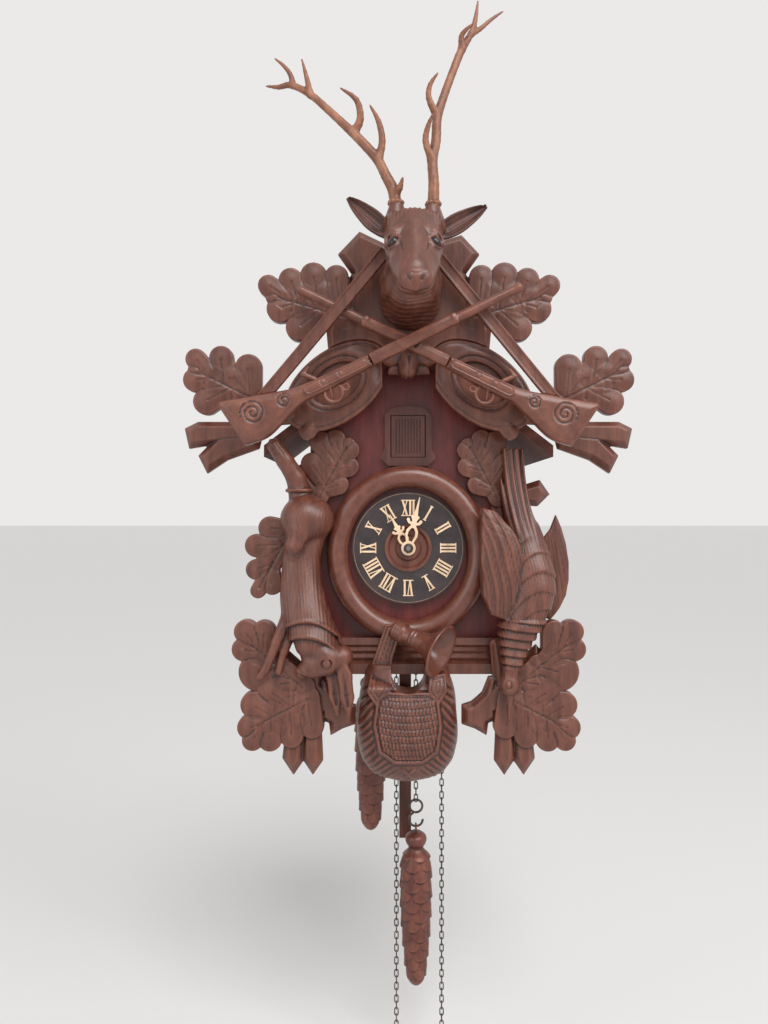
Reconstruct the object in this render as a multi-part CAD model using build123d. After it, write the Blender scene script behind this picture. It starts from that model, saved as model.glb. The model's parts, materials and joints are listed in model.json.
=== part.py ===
from build123d import *
import math
import os

# Sizes are in millimetres. x runs to the viewer's right, z up, and depth forward from the wall.
# Heights of carvings are measured from the dial centre.
DIAL_DROP = 130.0
CASE_WIDTH = 176.0
CASE_DEPTH = 118.0
BOARD = 8.0
BASE_DROP = 111.0
FLOOR_DROP = 90.0
RIDGE_RISE = 178.0
ROOF_SLOPE = 37.5
EAVE_REACH = 127.0
ROOF_OVERHANG = 20.0
CARVING = 10.0
FIT = 0.3

HANGER_RADIUS = 4.5
HANGER_PLATE = 2.0

DIAL_RADIUS = 50.0
DIAL_THICK = 7.0
BOSS_RADIUS = 21.0
NUMERAL_INNER = 28.5
NUMERAL_HEIGHT = 14.5
NUMERAL_THICK = 1.0
HAND_THICK = 1.4
MINUTE_REACH = 48.0
HOUR_REACH = 34.0
MINUTE_ANGLE = 12.6
HOUR_ANGLE = -28.9

HORN_HALF_WIDTH = 63.0
HORN_HALF_HEIGHT = 69.0
HORN_TUBE = 9.5
HORN_DROP = 5.0
BELL_MOUTH = 23.0

DOOR_WIDTH = 30.0
DOOR_HEIGHT = 37.0
DOOR_RISE = 100.0
DOOR_THICK = 4.0

PLATE_THICK = 2.0
PLATE_FRONT = CASE_DEPTH - 20.0
PLATE_GAP = 46.0
ARBOR = 2.0
RUN = 0.05
MODULE = 0.8

CHAIN_DEPTH = PLATE_FRONT - 36.0
CHAIN_SPREAD = 22.0
CHAIN_WHEEL = 12.5
CHAIN_WHEEL_DROP = 55.0
CHAIN_PITCH = 6.2
CHAIN_WIRE = 1.1
CHAIN_WIDTH = 4.4
CHAIN_END = 470.0
CONE_LENGTH = 150.0
CONE_RADIUS = 16.0
GOING_HOOK = 249.0
STRIKE_HOOK = 98.0
PULL_RING = 3.5

PENDULUM_DEPTH = 25.0
PENDULUM_PIVOT = 34.0
PENDULUM_END = 300.0
STICK_WIDTH = 12.0
STICK_THICK = 4.0

RIFLE_LENGTH = 272.0
RIFLE_TILT = 26.0
RIFLE_THICK = 12.0
BUTT_X = EAVE_REACH + 24.0
BUTT_Z = 101.0

HALF = CASE_WIDTH / 2
SLOPE = math.tan(math.radians(ROOF_SLOPE))
ROOF_FRONT = CASE_DEPTH + ROOF_OVERHANG
ROOF_RISE = BOARD / math.cos(math.radians(ROOF_SLOPE))
FACE = CASE_DEPTH
PLATE_BACK = PLATE_FRONT - PLATE_GAP
SCROLL_FRONT = ROOF_FRONT + CARVING
PENDANT_FRONT = SCROLL_FRONT + CARVING
BACK_RIFLE = PENDANT_FRONT
FRONT_RIFLE = BACK_RIFLE + 0.75 * RIFLE_THICK
LEAF_FRONT = FACE + BOARD
MOULD_FRONT = FACE + 16.0
SKIRT_BACK = MOULD_FRONT
SKIRT_FRONT = SKIRT_BACK + CARVING + 2.0

shapes = {}


def flat(depth):
    return Plane(origin=(0, -depth, -DIAL_DROP), x_dir=(1, 0, 0), z_dir=(0, -1, 0))


def plate(outline, back, front):
    return extrude(flat(back) * outline, amount=front - back)


def spot(x, z, depth):
    return Vector(x, -depth, z - DIAL_DROP)


def peg(x, z, radius, back, front):
    return plate(Pos(x, z) * Circle(radius), back, front)


def block(left, right, low, high, back, front):
    return plate(Pos((left + right) / 2, (low + high) / 2) * Rectangle(right - left, high - low), back, front)


def joined(pieces):
    whole = pieces[0]
    for piece in pieces[1:]:
        whole = whole + piece
    return whole


def moved(points, x, z, side):
    return [(side * (x + p[0]), z + p[1], *p[2:]) for p in points]


def lobe(start, end):
    rounds = [(Pos(c[0], c[1]) * Circle(c[2])).edges() for c in (start, end)]
    return make_hull(rounds[0] + rounds[1])


def oak_leaf(root, tip, lobes, rib):
    run = (tip[0] - root[0], tip[1] - root[1])
    length = math.hypot(*run)
    leaf = lobe((root[0], root[1], rib), (tip[0], tip[1], tip[2]))
    for x, z, radius in lobes:
        share = ((x - root[0]) * run[0] + (z - root[1]) * run[1]) / length**2
        share = min(max(share - 0.22, 0.0), 0.8)
        leaf = leaf + lobe((root[0] + share * run[0], root[1] + share * run[1], rib), (x, z, radius))
    corners = [root[:2], tip[:2]] + [(x, z) for x, z, radius in lobes]
    mid_x = sum(c[0] for c in corners) / len(corners)
    mid_z = sum(c[1] for c in corners) / len(corners)
    corners.sort(key=lambda c: math.atan2(c[1] - mid_z, c[0] - mid_x))
    return leaf + closed(corners)


def closed(points):
    area = sum(a[0] * b[1] - b[0] * a[1] for a, b in zip(points, points[1:] + points[:1]))
    return Polygon(*(points if area > 0 else points[::-1]))


def limb(stations, side=(0, -1, 0)):
    points = [spot(*s[:3]) for s in stations]
    last = len(points) - 1
    sections = []
    for i, s in enumerate(stations):
        ahead = (points[min(i + 1, last)] - points[max(i - 1, 0)]).normalized()
        across = Vector(*side)
        across = across - ahead * across.dot(ahead)
        wide = s[4] if len(s) > 4 else s[3]
        sections.append(Plane(origin=points[i], x_dir=across, z_dir=ahead) * Ellipse(s[3], wide + 0.001))
    return loft(sections)


def roof_under(x):
    return RIDGE_RISE - abs(x) * SLOPE


def gear(teeth, bore):
    pitch_radius = teeth * MODULE / 2
    tip = pitch_radius + 0.85 * MODULE
    foot = pitch_radius - 1.15 * MODULE
    step = 2 * math.pi / teeth
    points = []
    for k in range(teeth):
        for share, radius in ((-0.27, foot), (-0.19, pitch_radius), (-0.08, tip),
                              (0.08, tip), (0.19, pitch_radius), (0.27, foot)):
            angle = (k + share) * step
            points.append((radius * math.sin(angle), radius * math.cos(angle)))
    return closed(points) - Circle(bore)


# Case boards.
gable = [(-HALF, -BASE_DROP), (HALF, -BASE_DROP), (HALF, roof_under(HALF)), (0, RIDGE_RISE),
         (-HALF, roof_under(HALF))]
shapes["back_board"] = plate(Polygon(*gable), 0, BOARD)
shapes["back_board"] -= peg(0, DIAL_DROP, 8.0, HANGER_PLATE, BOARD - 1.5)
hanger_outline = Pos(0, DIAL_DROP - 4) * RectangleRounded(30, 26, 4)
shapes["back_board"] -= plate(hanger_outline, 0, HANGER_PLATE)
shapes["hanger_plate"] = plate(hanger_outline - Pos(0, DIAL_DROP) * Circle(HANGER_RADIUS), 0, HANGER_PLATE)
opening = Pos(0, DOOR_RISE) * Rectangle(DOOR_WIDTH + 1.6, DOOR_HEIGHT + 1.0)
front = Polygon(*gable) - Circle(7.0) - opening
shapes["front_board"] = plate(front, FACE - BOARD, FACE)
sides = []
roofs = []
for name, side in (("left", -1), ("right", 1)):
    inner = HALF - BOARD
    profile = [(side * inner, -BASE_DROP), (side * HALF, -BASE_DROP), (side * HALF, roof_under(HALF)),
               (side * inner, roof_under(inner))]
    sides.append(plate(closed(profile), BOARD, FACE - BOARD))
    panel = [(0, RIDGE_RISE), (side * EAVE_REACH, roof_under(EAVE_REACH)),
             (side * EAVE_REACH, roof_under(EAVE_REACH) + ROOF_RISE), (0, RIDGE_RISE + ROOF_RISE)]
    roofs.append(plate(closed(panel), 0, ROOF_FRONT))

shapes["side_boards"] = Compound(children=[s for p in sides for s in p.solids()])
shapes["roof_boards"] = Compound(children=[s for p in roofs for s in p.solids()])
floor = block(-HALF + BOARD, HALF - BOARD, -FLOOR_DROP, -FLOOR_DROP + BOARD, BOARD, FACE - BOARD)
for side in (-1, 1):
    for reach in (-1, 1):
        x = side * CHAIN_SPREAD + reach * CHAIN_WHEEL
        floor -= Pos(x, -CHAIN_DEPTH, -DIAL_DROP - FLOOR_DROP) * Cylinder(5.0, 40)
slot = STICK_WIDTH / 2 + math.radians(5) * (PENDULUM_PIVOT + FLOOR_DROP) + 3.0
floor -= block(-slot, slot, -FLOOR_DROP - 1, -FLOOR_DROP + BOARD + 1, PENDULUM_DEPTH - 6, PENDULUM_DEPTH + 6)
shapes["floor_board"] = floor

# Horn ring: an oval tube carved with a flat back, and its bell bound on below.
def horn_tube(radius):
    path = flat(FACE + BOARD) * (Pos(0, -HORN_DROP) * Ellipse(HORN_HALF_WIDTH, HORN_HALF_HEIGHT)).edge()
    start = Plane(origin=path @ 0, z_dir=path % 0)
    return sweep(start * Circle(radius), path=path)


in_front = Pos(0, -FACE - 100, -DIAL_DROP) * Box(400, 200, 700)
horn = horn_tube(HORN_TUBE) & in_front
horn_room = horn_tube(HORN_TUBE + FIT)
shapes["horn_ring"] = horn

# Reeded moulding under the dial.
steps = [(FACE, -80.0), (FACE + 10, -80.0), (FACE + 11, -86.0), (FACE + 9, -88.0), (FACE + 12, -91.0),
         (FACE + 10, -94.0), (FACE + 13, -97.0), (FACE + 11, -100.0), (MOULD_FRONT, -102.0),
         (MOULD_FRONT, -BASE_DROP), (FACE, -BASE_DROP)]
profile = make_face(Polyline(*[(0, -d, z - DIAL_DROP) for d, z in steps], close=True))
moulding = extrude(profile, amount=HALF, both=True)
shapes["floor_moulding"] = moulding - horn_room

# Dial with a turned centre and applied numerals.
shapes["dial_disc"] = plate(Circle(DIAL_RADIUS) - Circle(BOSS_RADIUS), FACE, FACE + DIAL_THICK)
DIAL_FRONT = FACE + DIAL_THICK
turned = [(5.0, FACE), (BOSS_RADIUS, FACE), (BOSS_RADIUS, DIAL_FRONT + 1.6),
          (BOSS_RADIUS - 2.5, DIAL_FRONT + 1.6), (BOSS_RADIUS - 4.5, DIAL_FRONT - 0.6),
          (12.0, DIAL_FRONT - 0.6), (10.5, DIAL_FRONT + 1.2),
          (5.0, DIAL_FRONT + 1.2)]
boss = make_face(Polyline(*[(r, -d, -DIAL_DROP) for r, d in turned], close=True))
shapes["dial_boss"] = revolve(boss, axis=Axis((0, 0, -DIAL_DROP), (0, 1, 0)))


def stroke(x0, z0, x1, z1, width):
    length = math.hypot(x1 - x0, z1 - z0)
    turn = math.degrees(math.atan2(z1 - z0, x1 - x0))
    return Pos((x0 + x1) / 2, (z0 + z1) / 2) * Rot(0, 0, turn) * Rectangle(length, width)


def numeral(letters):
    thick, thin, tall = 1.7, 0.9, NUMERAL_HEIGHT
    widths = {"I": 3.0, "V": 6.2, "X": 6.6}
    at = -sum(widths[c] for c in letters) / 2
    strokes = []
    for c in letters:
        w = widths[c]
        if c == "I":
            strokes.append(stroke(at + w / 2, 0.2, at + w / 2, tall - 0.2, thick))
        elif c == "V":
            strokes.append(stroke(at + 1.2, tall - 0.2, at + w / 2, 0.2, thick))
            strokes.append(stroke(at + w / 2, 0.2, at + w - 1.2, tall - 0.2, thin))
        else:
            strokes.append(stroke(at + 1.2, tall - 0.2, at + w - 1.2, 0.2, thick))
            strokes.append(stroke(at + 1.2, 0.2, at + w - 1.2, tall - 0.2, thin))
        at += w
    half = sum(widths[c] for c in letters) / 2
    strokes.append(stroke(-half, 0.45, half, 0.45, thin))
    strokes.append(stroke(-half, tall - 0.45, half, tall - 0.45, thin))
    return joined(strokes)


numerals = []
HOURS = ("I", "II", "III", "IIII", "V", "VI", "VII", "VIII", "IX", "X", "XI", "XII")
for hour, letters in enumerate(HOURS, start=1):
    place = Rot(0, 0, -30 * hour) * Pos(0, NUMERAL_INNER) * numeral(letters)
    numerals.append(plate(place, FACE + DIAL_THICK, FACE + DIAL_THICK + NUMERAL_THICK))
shapes["dial_numerals"] = Compound(children=[s for n in numerals for s in n.solids()])


# Hands, with an open loop, a pair of side leaves and a spear point.
def hand(reach, bore, back):
    base = reach / 48.0
    outline = Circle(6.0) + lobe((0, 6, 3.2), (0, 15 * base, 5.2))
    for side in (-1, 1):
        outline += lobe((0, 24 * base, 3.0), (side * 6.0 * base, 27 * base, 2.2))
    outline += lobe((0, 16 * base, 4.0), (0, 30 * base, 3.6))
    outline += lobe((0, 30 * base, 3.2), (0, reach - 0.5, 0.5))
    outline -= lobe((0, 8.5, 1.2), (0, 16 * base, 2.6))
    outline -= Circle(bore)
    return outline, back


MINUTE_BACK = FACE + DIAL_THICK + 6.4
HOUR_BACK = FACE + DIAL_THICK + 3.6
minute_outline, back = hand(MINUTE_REACH, ARBOR, MINUTE_BACK)
shapes["minute_hand"] = plate(Rot(0, 0, -MINUTE_ANGLE) * minute_outline, back, back + HAND_THICK)
hour_outline, back = hand(HOUR_REACH, ARBOR + 1.4, HOUR_BACK)
shapes["hour_hand"] = plate(Rot(0, 0, -HOUR_ANGLE) * hour_outline, back, back + HAND_THICK)
NUT_BACK = MINUTE_BACK + HAND_THICK
shapes["hand_nut"] = plate(Circle(4.2) - Circle(ARBOR), NUT_BACK, NUT_BACK + 2.2)

# Movement: two plates on pillars, held to the front board by posts.
PLATE_SIDE = CHAIN_SPREAD + CHAIN_WHEEL + 10.0
plate_top = PENDULUM_PIVOT + 12.0
plate_low = -CHAIN_WHEEL_DROP - 18.0
corners = [(sx * (PLATE_SIDE - 4.5), z) for sx in (-1, 1) for z in (plate_low + 5, plate_top - 5)]
frame_outline = Pos(0,
(plate_top + plate_low) / 2) * RectangleRounded(2 * PLATE_SIDE, plate_top - plate_low, 4)
MOTION_ARM = 16.0
ESCAPE_RISE = PENDULUM_PIVOT - 17.0
holes = [(0, 0, ARBOR + RUN), (0, ESCAPE_RISE, 1.0 + RUN), (0, PENDULUM_PIVOT, 1.5 + RUN)]
holes += [(s * CHAIN_SPREAD, -CHAIN_WHEEL_DROP, 1.5 + RUN) for s in (-1, 1)]
for x, z, r in holes:
    frame_outline -= Pos(x, z) * Circle(r)
frame = plate(frame_outline, PLATE_BACK - PLATE_THICK, PLATE_BACK)
frame += plate(frame_outline - Pos(MOTION_ARM, 0) * Circle(1.5), PLATE_FRONT, PLATE_FRONT + PLATE_THICK)
for x, z in corners:
    frame += peg(x, z, 3.0, PLATE_BACK - 0.5, FACE - BOARD)
shapes["movement_frame"] = frame

arbor = peg(0, 0, ARBOR, PLATE_BACK - PLATE_THICK, NUT_BACK + 2.2)
arbor += peg(0, 0, 4.0, PLATE_BACK + 4, PLATE_BACK + 8)
arbor += plate(gear(10, 0.5), PLATE_FRONT + PLATE_THICK + 0.8, PLATE_FRONT + PLATE_THICK + 3.4)
shapes["centre_arbor"] = arbor
HOUR_WHEEL_BACK = PLATE_FRONT + PLATE_THICK + 4.4
hour_wheel = plate(gear(32, ARBOR + 0.1), HOUR_WHEEL_BACK, HOUR_WHEEL_BACK + 1.6)
hour_wheel += plate(Circle(ARBOR + 1.4) - Circle(ARBOR + 0.1), HOUR_WHEEL_BACK, HOUR_BACK + HAND_THICK)
shapes["hour_wheel"] = hour_wheel
stud = peg(MOTION_ARM, 0, 1.5, PLATE_FRONT, HOUR_WHEEL_BACK + 2.4)
shapes["movement_frame"] += stud
quarter = Pos(MOTION_ARM, 0) * Rot(0, 0, 90)
motion_back = PLATE_FRONT + PLATE_THICK + 1.1
motion = plate(quarter * gear(30, 1.5 + RUN), motion_back, motion_back + 2.0)
pinion = Pos(MOTION_ARM, 0) * Rot(0, 0, 90 + 180 / 8) * gear(8, 1.5 + RUN)
motion += plate(pinion, PLATE_FRONT + PLATE_THICK + 3.1, HOUR_WHEEL_BACK + 2.0)
shapes["motion_wheel"] = motion

escape = []
for k in range(30):
    angle = 2 * math.pi * k / 30
    escape.append((8.2 * math.sin(angle), 8.2 * math.cos(angle)))
    escape.append((10.6 * math.sin(angle + 0.06), 10.6 * math.cos(angle + 0.06)))
    escape.append((8.4 * math.sin(angle + 0.09), 8.4 * math.cos(angle + 0.09)))
wheel = plate(Pos(0, ESCAPE_RISE) * closed(escape), PLATE_BACK + 12, PLATE_BACK + 13.5)
wheel += peg(0, ESCAPE_RISE, 1.0, PLATE_BACK - PLATE_THICK, PLATE_FRONT + PLATE_THICK)
shapes["escape_wheel"] = wheel
anchor = peg(0, PENDULUM_PIVOT, 1.5, PENDULUM_DEPTH + 6, PLATE_FRONT + PLATE_THICK)
yoke = Pos(0, PENDULUM_PIVOT) * Circle(3.2)
for s in (-1, 1):
    yoke += lobe((0, PENDULUM_PIVOT, 2.0), (s * 9.5, PENDULUM_PIVOT - 5.5, 1.2))
anchor += plate(yoke, PLATE_BACK + 11.5, PLATE_BACK + 14)
crutch = lobe((0, PENDULUM_PIVOT, 3.0), (0, PENDULUM_PIVOT - 46, 1.6))
anchor += plate(crutch, PENDULUM_DEPTH + 6, PENDULUM_DEPTH + 8)
anchor += peg(0, PENDULUM_PIVOT - 46, 1.2, PENDULUM_DEPTH - STICK_THICK / 2, PENDULUM_DEPTH + 7)
shapes["anchor"] = anchor

# Pendulum: a flat stick hung on a post of the movement, and a leaf bob.
post = peg(0, PENDULUM_PIVOT + 7, 2.0, PENDULUM_DEPTH - 4, PLATE_BACK - PLATE_THICK)
shapes["movement_frame"] += post
stick = Rectangle(STICK_WIDTH, PENDULUM_PIVOT + PENDULUM_END - 4)
stick = Pos(0, (PENDULUM_PIVOT - PENDULUM_END) / 2 - 2) * stick
stick += lobe((0, PENDULUM_PIVOT - 8, 5), (0, PENDULUM_PIVOT + 7, 4))
stick -= Pos(0, PENDULUM_PIVOT + 7) * Circle(2.0 + RUN)
stick -= Pos(0, PENDULUM_PIVOT - 46) * Circle(1.6)
stick = plate(stick, PENDULUM_DEPTH - STICK_THICK / 2, PENDULUM_DEPTH + STICK_THICK / 2)
shapes["pendulum_stick"] = stick
BOB_DROP = 178.0
BOB_LEAF = [(20, 16, 8), (25, -2, 8), (17, -18, 8)]
bob_lobes = [(s * x, -BOB_DROP + z, r) for s in (-1, 1) for x, z, r in BOB_LEAF]
bob_outline = oak_leaf((0, -BOB_DROP + 25), (0, -BOB_DROP - 26, 7), bob_lobes, 9)
bob_outline += Pos(0, -BOB_DROP + 28) * Circle(6)
bob_front = PENDULUM_DEPTH + STICK_THICK / 2
shapes["pendulum_bob"] = plate(bob_outline, bob_front, bob_front + 7)

# Chains: closed links, each turned a quarter against the next.
def chain_link():
    inner = (CHAIN_PITCH + 0.15) / 2
    bend = (CHAIN_WIDTH - CHAIN_WIRE) / 2
    straight = inner + CHAIN_WIRE / 2 - bend
    side = Pos(bend, 0, 0) * Cylinder(CHAIN_WIRE / 2, 2 * straight)
    section = Pos(bend, 0, straight) * Circle(CHAIN_WIRE / 2)
    cap = revolve(section, axis=Axis((0, 0, straight), (0, -1, 0)), revolution_arc=180)
    return joined([side, mirror(side, Plane.YZ), cap, mirror(cap, Plane.XY)])


link = chain_link()


def chain_run(x, top, bottom):
    count = int(round((top - bottom) / CHAIN_PITCH))
    links = []
    for k in range(count):
        place = Pos(*spot(x, bottom + (k + 0.5) * CHAIN_PITCH, CHAIN_DEPTH))
        links.append(place * Rot(0, 0, 90 * (k % 2)) * link)
    return links


def hook(x, top):
    wire = 1.1
    upper = Pos(*spot(x, top - 6.5, CHAIN_DEPTH)) * Rot(90, 0, 0) * Torus(6.2, wire)
    start = Plane(origin=spot(x + 6.6, top - 19.5, CHAIN_DEPTH), x_dir=(1, 0, 0), z_dir=(0, 0, 1))
    lower = start * Circle(wire)
    bend = revolve(lower, axis=Axis(spot(x, top - 19.5, CHAIN_DEPTH), (0, 1, 0)), revolution_arc=250)
    return upper + bend


def cone_profile():
    rings = 13
    points = []
    for k in range(rings):
        share = k / (rings - 1)
        taper = 0.72 + 1.4 * share
        if share >= 0.2:
            taper = 1.0 - 0.5 * ((share - 0.2) / 0.8) ** 1.8
        body = CONE_RADIUS * taper
        z = -22.0 - share * (CONE_LENGTH - 30.0)
        points.append((body * 0.9, z + 3.0))
        points.append((body, z - 3.0))
    return points


def cone(x, hook_top):
    top = hook_top - 31.0
    points = [(0.0, 0.0), (5.0, 0.0), (9.0, -4.0), (9.5, -9.0), (7.0, -14.0), (7.5, -17.0)] + cone_profile()
    points += [(6.0, -CONE_LENGTH + 2.0), (0.0, -CONE_LENGTH)]
    section = make_face(Polyline(*[(x + r, -CHAIN_DEPTH, top + z - DIAL_DROP) for r, z in points], close=True))
    body = revolve(section, axis=Axis(spot(x, 0, CHAIN_DEPTH), (0, 0, 1)))
    eye = Pos(*spot(x, top + 3.7, CHAIN_DEPTH)) * Rot(0, 90, 0) * Torus(3.6, 1.0)
    return body + eye


trains = {"going": 1, "strike": -1}
weights = {"going": -GOING_HOOK, "strike": -STRIKE_HOOK}
for name, side in trains.items():
    centre = side * CHAIN_SPREAD
    inward = centre - side * CHAIN_WHEEL if name == "going" else centre + side * CHAIN_WHEEL
    outward = 2 * centre - inward
    loaded = chain_run(inward, -CHAIN_WHEEL_DROP, weights[name] - 0.6)
    shapes[name + "_weight_chain"] = Compound(children=loaded + [hook(inward, weights[name] + 1.2)])
    shapes[name + "_weight"] = cone(inward, weights[name] + 1.2)
    free = chain_run(outward, -CHAIN_WHEEL_DROP, -CHAIN_END)
    ring = Rot(90, 0, 0) * Torus(PULL_RING, 0.9)
    ring = Pos(*spot(outward, -CHAIN_END - PULL_RING + 0.4, CHAIN_DEPTH)) * ring
    shapes[name + "_free_chain"] = Compound(children=free + [ring])
    cheeks = peg(centre, -CHAIN_WHEEL_DROP, CHAIN_WHEEL + 2.5, CHAIN_DEPTH - 4, CHAIN_DEPTH - 2.8)
    cheeks += peg(centre, -CHAIN_WHEEL_DROP, CHAIN_WHEEL + 2.5, CHAIN_DEPTH + 2.8, CHAIN_DEPTH + 4)
    bed = CHAIN_WHEEL - CHAIN_WIDTH / 2 - FIT
    cheeks += peg(centre, -CHAIN_WHEEL_DROP, bed, CHAIN_DEPTH - 3, CHAIN_DEPTH + 3)
    cheeks += peg(centre, -CHAIN_WHEEL_DROP, 1.5, PLATE_BACK - PLATE_THICK, PLATE_FRONT + PLATE_THICK)
    shapes[name + "_chain_wheel"] = cheeks


# Cuckoo door in a fixed frame, with its hinge pin, and the bird on its arm.
DOOR_BACK = FACE
DOOR_FRONT = FACE + DOOR_THICK
half_door = DOOR_WIDTH / 2
low = DOOR_RISE - DOOR_HEIGHT / 2
high = DOOR_RISE + DOOR_HEIGHT / 2
frame_points = [(-18, low - 8), (18, low - 8), (25, low - 1), (21, low + 7), (21, high + 1), (14, high + 7),
                (0, high + 8.5), (-14, high + 7), (-21, high + 1), (-21, low + 7), (-25, low - 1)]
door_frame = closed(frame_points) - opening
shapes["door_frame"] = plate(door_frame, FACE, FACE + 5.0)
PIN_X = -half_door + 1.2
PIN_DEPTH = DOOR_FRONT - 1.2
pin = Pos(PIN_X, -PIN_DEPTH, DOOR_RISE - DIAL_DROP) * Cylinder(0.6, DOOR_HEIGHT + 6.0)
shapes["door_frame"] += pin
door = block(-half_door, half_door, low, high, DOOR_BACK, DOOR_FRONT)
door -= Pos(PIN_X, -PIN_DEPTH, DOOR_RISE - DIAL_DROP) * Cylinder(0.6 + RUN, DOOR_HEIGHT + 2)
SLATS = 9
slat = (DOOR_WIDTH - 6.0) / SLATS
for k in range(SLATS):
    x = -half_door + 3.0 + (k + 0.5) * slat
    door -= block(x - 0.4, x + 0.4, low + 3, high - 3, DOOR_FRONT - 1.0, DOOR_FRONT + 1)
shapes["cuckoo_door"] = door
BIRD_NOSE = DOOR_BACK - 10.0
ARM_PIVOT = DOOR_RISE - 46.0
ARM_DEPTH = BIRD_NOSE - 26.0
CUCKOO = [(-4, -22, 1.5, 3), (-3, -10, 5, 5), (-2, 0, 7.5, 8), (1, 8, 7, 8), (4, 14, 5, 5), (4, 19, 2.2, 2.2),
          (3, 25, 0.4, 0.4)]
bird = limb([(0, DOOR_RISE + z, ARM_DEPTH + out, wide, tall) for z, out, wide, tall in CUCKOO], side=(1, 0, 0))
bird += block(-1.2, 1.2, ARM_PIVOT, DOOR_RISE - 5, ARM_DEPTH - 1.2, ARM_DEPTH + 1.2)
bird += Pos(*spot(0, ARM_PIVOT, ARM_DEPTH)) * Rot(0, 90, 0) * Cylinder(3.0, 6)
bird -= Pos(*spot(0, ARM_PIVOT, ARM_DEPTH)) * Rot(0, 90, 0) * Cylinder(1.5 + RUN, 10)
shapes["cuckoo_bird"] = bird
perch = Pos(*spot(0, ARM_PIVOT, ARM_DEPTH)) * Rot(0, 90, 0) * Cylinder(1.5, 14)
for s in (-1, 1):
    perch += block(s * 5.5 - 1.5, s * 5.5 + 1.5, plate_top - 6, ARM_PIVOT + 3, ARM_DEPTH - 3, ARM_DEPTH + 3)
perch += block(-7, 7, plate_top - 6, plate_top - 2, ARM_DEPTH - 3, PLATE_FRONT + PLATE_THICK)
shapes["movement_frame"] += perch

# Whistles and bellows against the sides, gong and hammer behind.
WHISTLE = 22.0
BELLOWS = 44.0
PIPE_BACK = PLATE_FRONT - 38.0
whistles = []
for name, side in (("left", -1), ("right", 1)):
    outer = side * (HALF - BOARD)
    inner = outer - side * WHISTLE
    left, right = min(outer, inner), max(outer, inner)
    whistle = block(left, right, -60, 30, PIPE_BACK, PIPE_BACK + WHISTLE)
    whistle -= block(left + 3, right - 3, -57, 27, PIPE_BACK + 3, PIPE_BACK + WHISTLE - 3)
    mouth = sorted((inner, inner + side * 4))
    whistle -= block(mouth[0], mouth[1], 10, 16, PIPE_BACK + 4, PIPE_BACK + WHISTLE - 4)
    whistles += whistle.solids()
    lid = block(left + 0.5, right - 0.5, 46, 49, PIPE_BACK, PIPE_BACK + BELLOWS)
    shapes["bellows_lid_" + name] = lid
    fold = closed([(PIPE_BACK + 0.5, 30.0), (PIPE_BACK + BELLOWS - 1, 30.0), (PIPE_BACK + BELLOWS, 46.0),
                   (PIPE_BACK + 0.5, 46.0)])
    fold = Plane(origin=(left + 0.5, 0, -DIAL_DROP), x_dir=(0, -1, 0), z_dir=(-1, 0, 0)) * fold
    folds = extrude(fold, amount=-(WHISTLE - 1))
    shapes["bellows_fold_" + name] = folds
shapes["whistle_pipes"] = Compound(children=whistles)
GONG_DROP = 52.0
GONG_WIRE = 1.0
GONG_INNER = 10.0
GONG_PITCH = 4.0
GONG_TURNS = 4
GONG_DEPTH = BOARD + 5.0
gong_arcs = []
for k in range(2 * GONG_TURNS):
    shift = GONG_PITCH / 4 * (-1) ** k
    reach = GONG_INNER + k * GONG_PITCH / 2
    gong_arcs.append(CenterArc((shift, 0), reach, 180 * (k % 2), 180))
gong_path = flat(GONG_DEPTH) * (Pos(0, -GONG_DROP) * Wire(gong_arcs))
gong_start = Plane(origin=gong_path @ 0, z_dir=gong_path % 0)
coil = sweep(gong_start * Circle(GONG_WIRE), path=gong_path)
coil_end = gong_path @ 1
marks = [gong_path @ (k / 240) for k in range(241)]
apart = [(marks[i] - marks[j]).length for i in range(241) for j in range(i) if i - j > 20]
print("least gap of the gong coil to itself, mm:", round(min(apart) - 2 * GONG_WIRE, 2))
gong_foot = Pos(coil_end.X + 3.5, -BOARD - 4.0, coil_end.Z) * Box(9, 8, 12)
shapes["gong_coil"] = coil + gong_foot
shapes["movement_frame"] += peg(34, 10, 1.5, 10, PLATE_BACK - PLATE_THICK)
hammer = plate(lobe((34, 10, 3.0), (31, -36, 1.2)), 12, 14) + peg(31, -36, 4.0, 9, 17)
shapes["gong_hammer"] = hammer - peg(34, 10, 1.5 + RUN, 0, 40)

# Carved leaves. Points are (x, z, radius) from the dial centre, for the right-hand piece.
EAVE_LEAF = [(188, 168, 7), (190, 148, 8), (180, 128, 9), (165, 170, 8), (141, 162, 9)]
EAVE_STUBS = [[(130, 112), (186, 112), (198, 106), (194, 88), (182, 90), (140, 94)],
              [(128, 104), (168, 100), (186, 82), (178, 66), (160, 78), (132, 88)]]
CROWN_LEAF = [(123, 229, 7), (114, 207, 9), (97, 190, 9), (103, 235, 8), (83, 239, 9), (63, 238, 8)]
SIDE_LEAF = [(62, 96, 7), (50, 86, 7), (52, 71, 7), (58, 58, 6)]
OUTER_LEAF = [(131, 20, 8), (137, -2, 8), (137, -20, 7), (130, -36, 7)]
SKIRT_LEAF_UP = [(143, -70, 9), (145, -85, 8), (128, -72, 9), (137, -108, 12)]
SKIRT_HEART = [(80, -112), (112, -84), (130, -108), (128, -126), (132, -140), (121, -162), (100, -160),
               (80, -140)]
SKIRT_LEAF_DOWN = [(137, -134, 9), (141, -156, 8), (137, -168, 7), (121, -168, 8), (104, -166, 8)]
scrolls = []
bands = []
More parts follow.
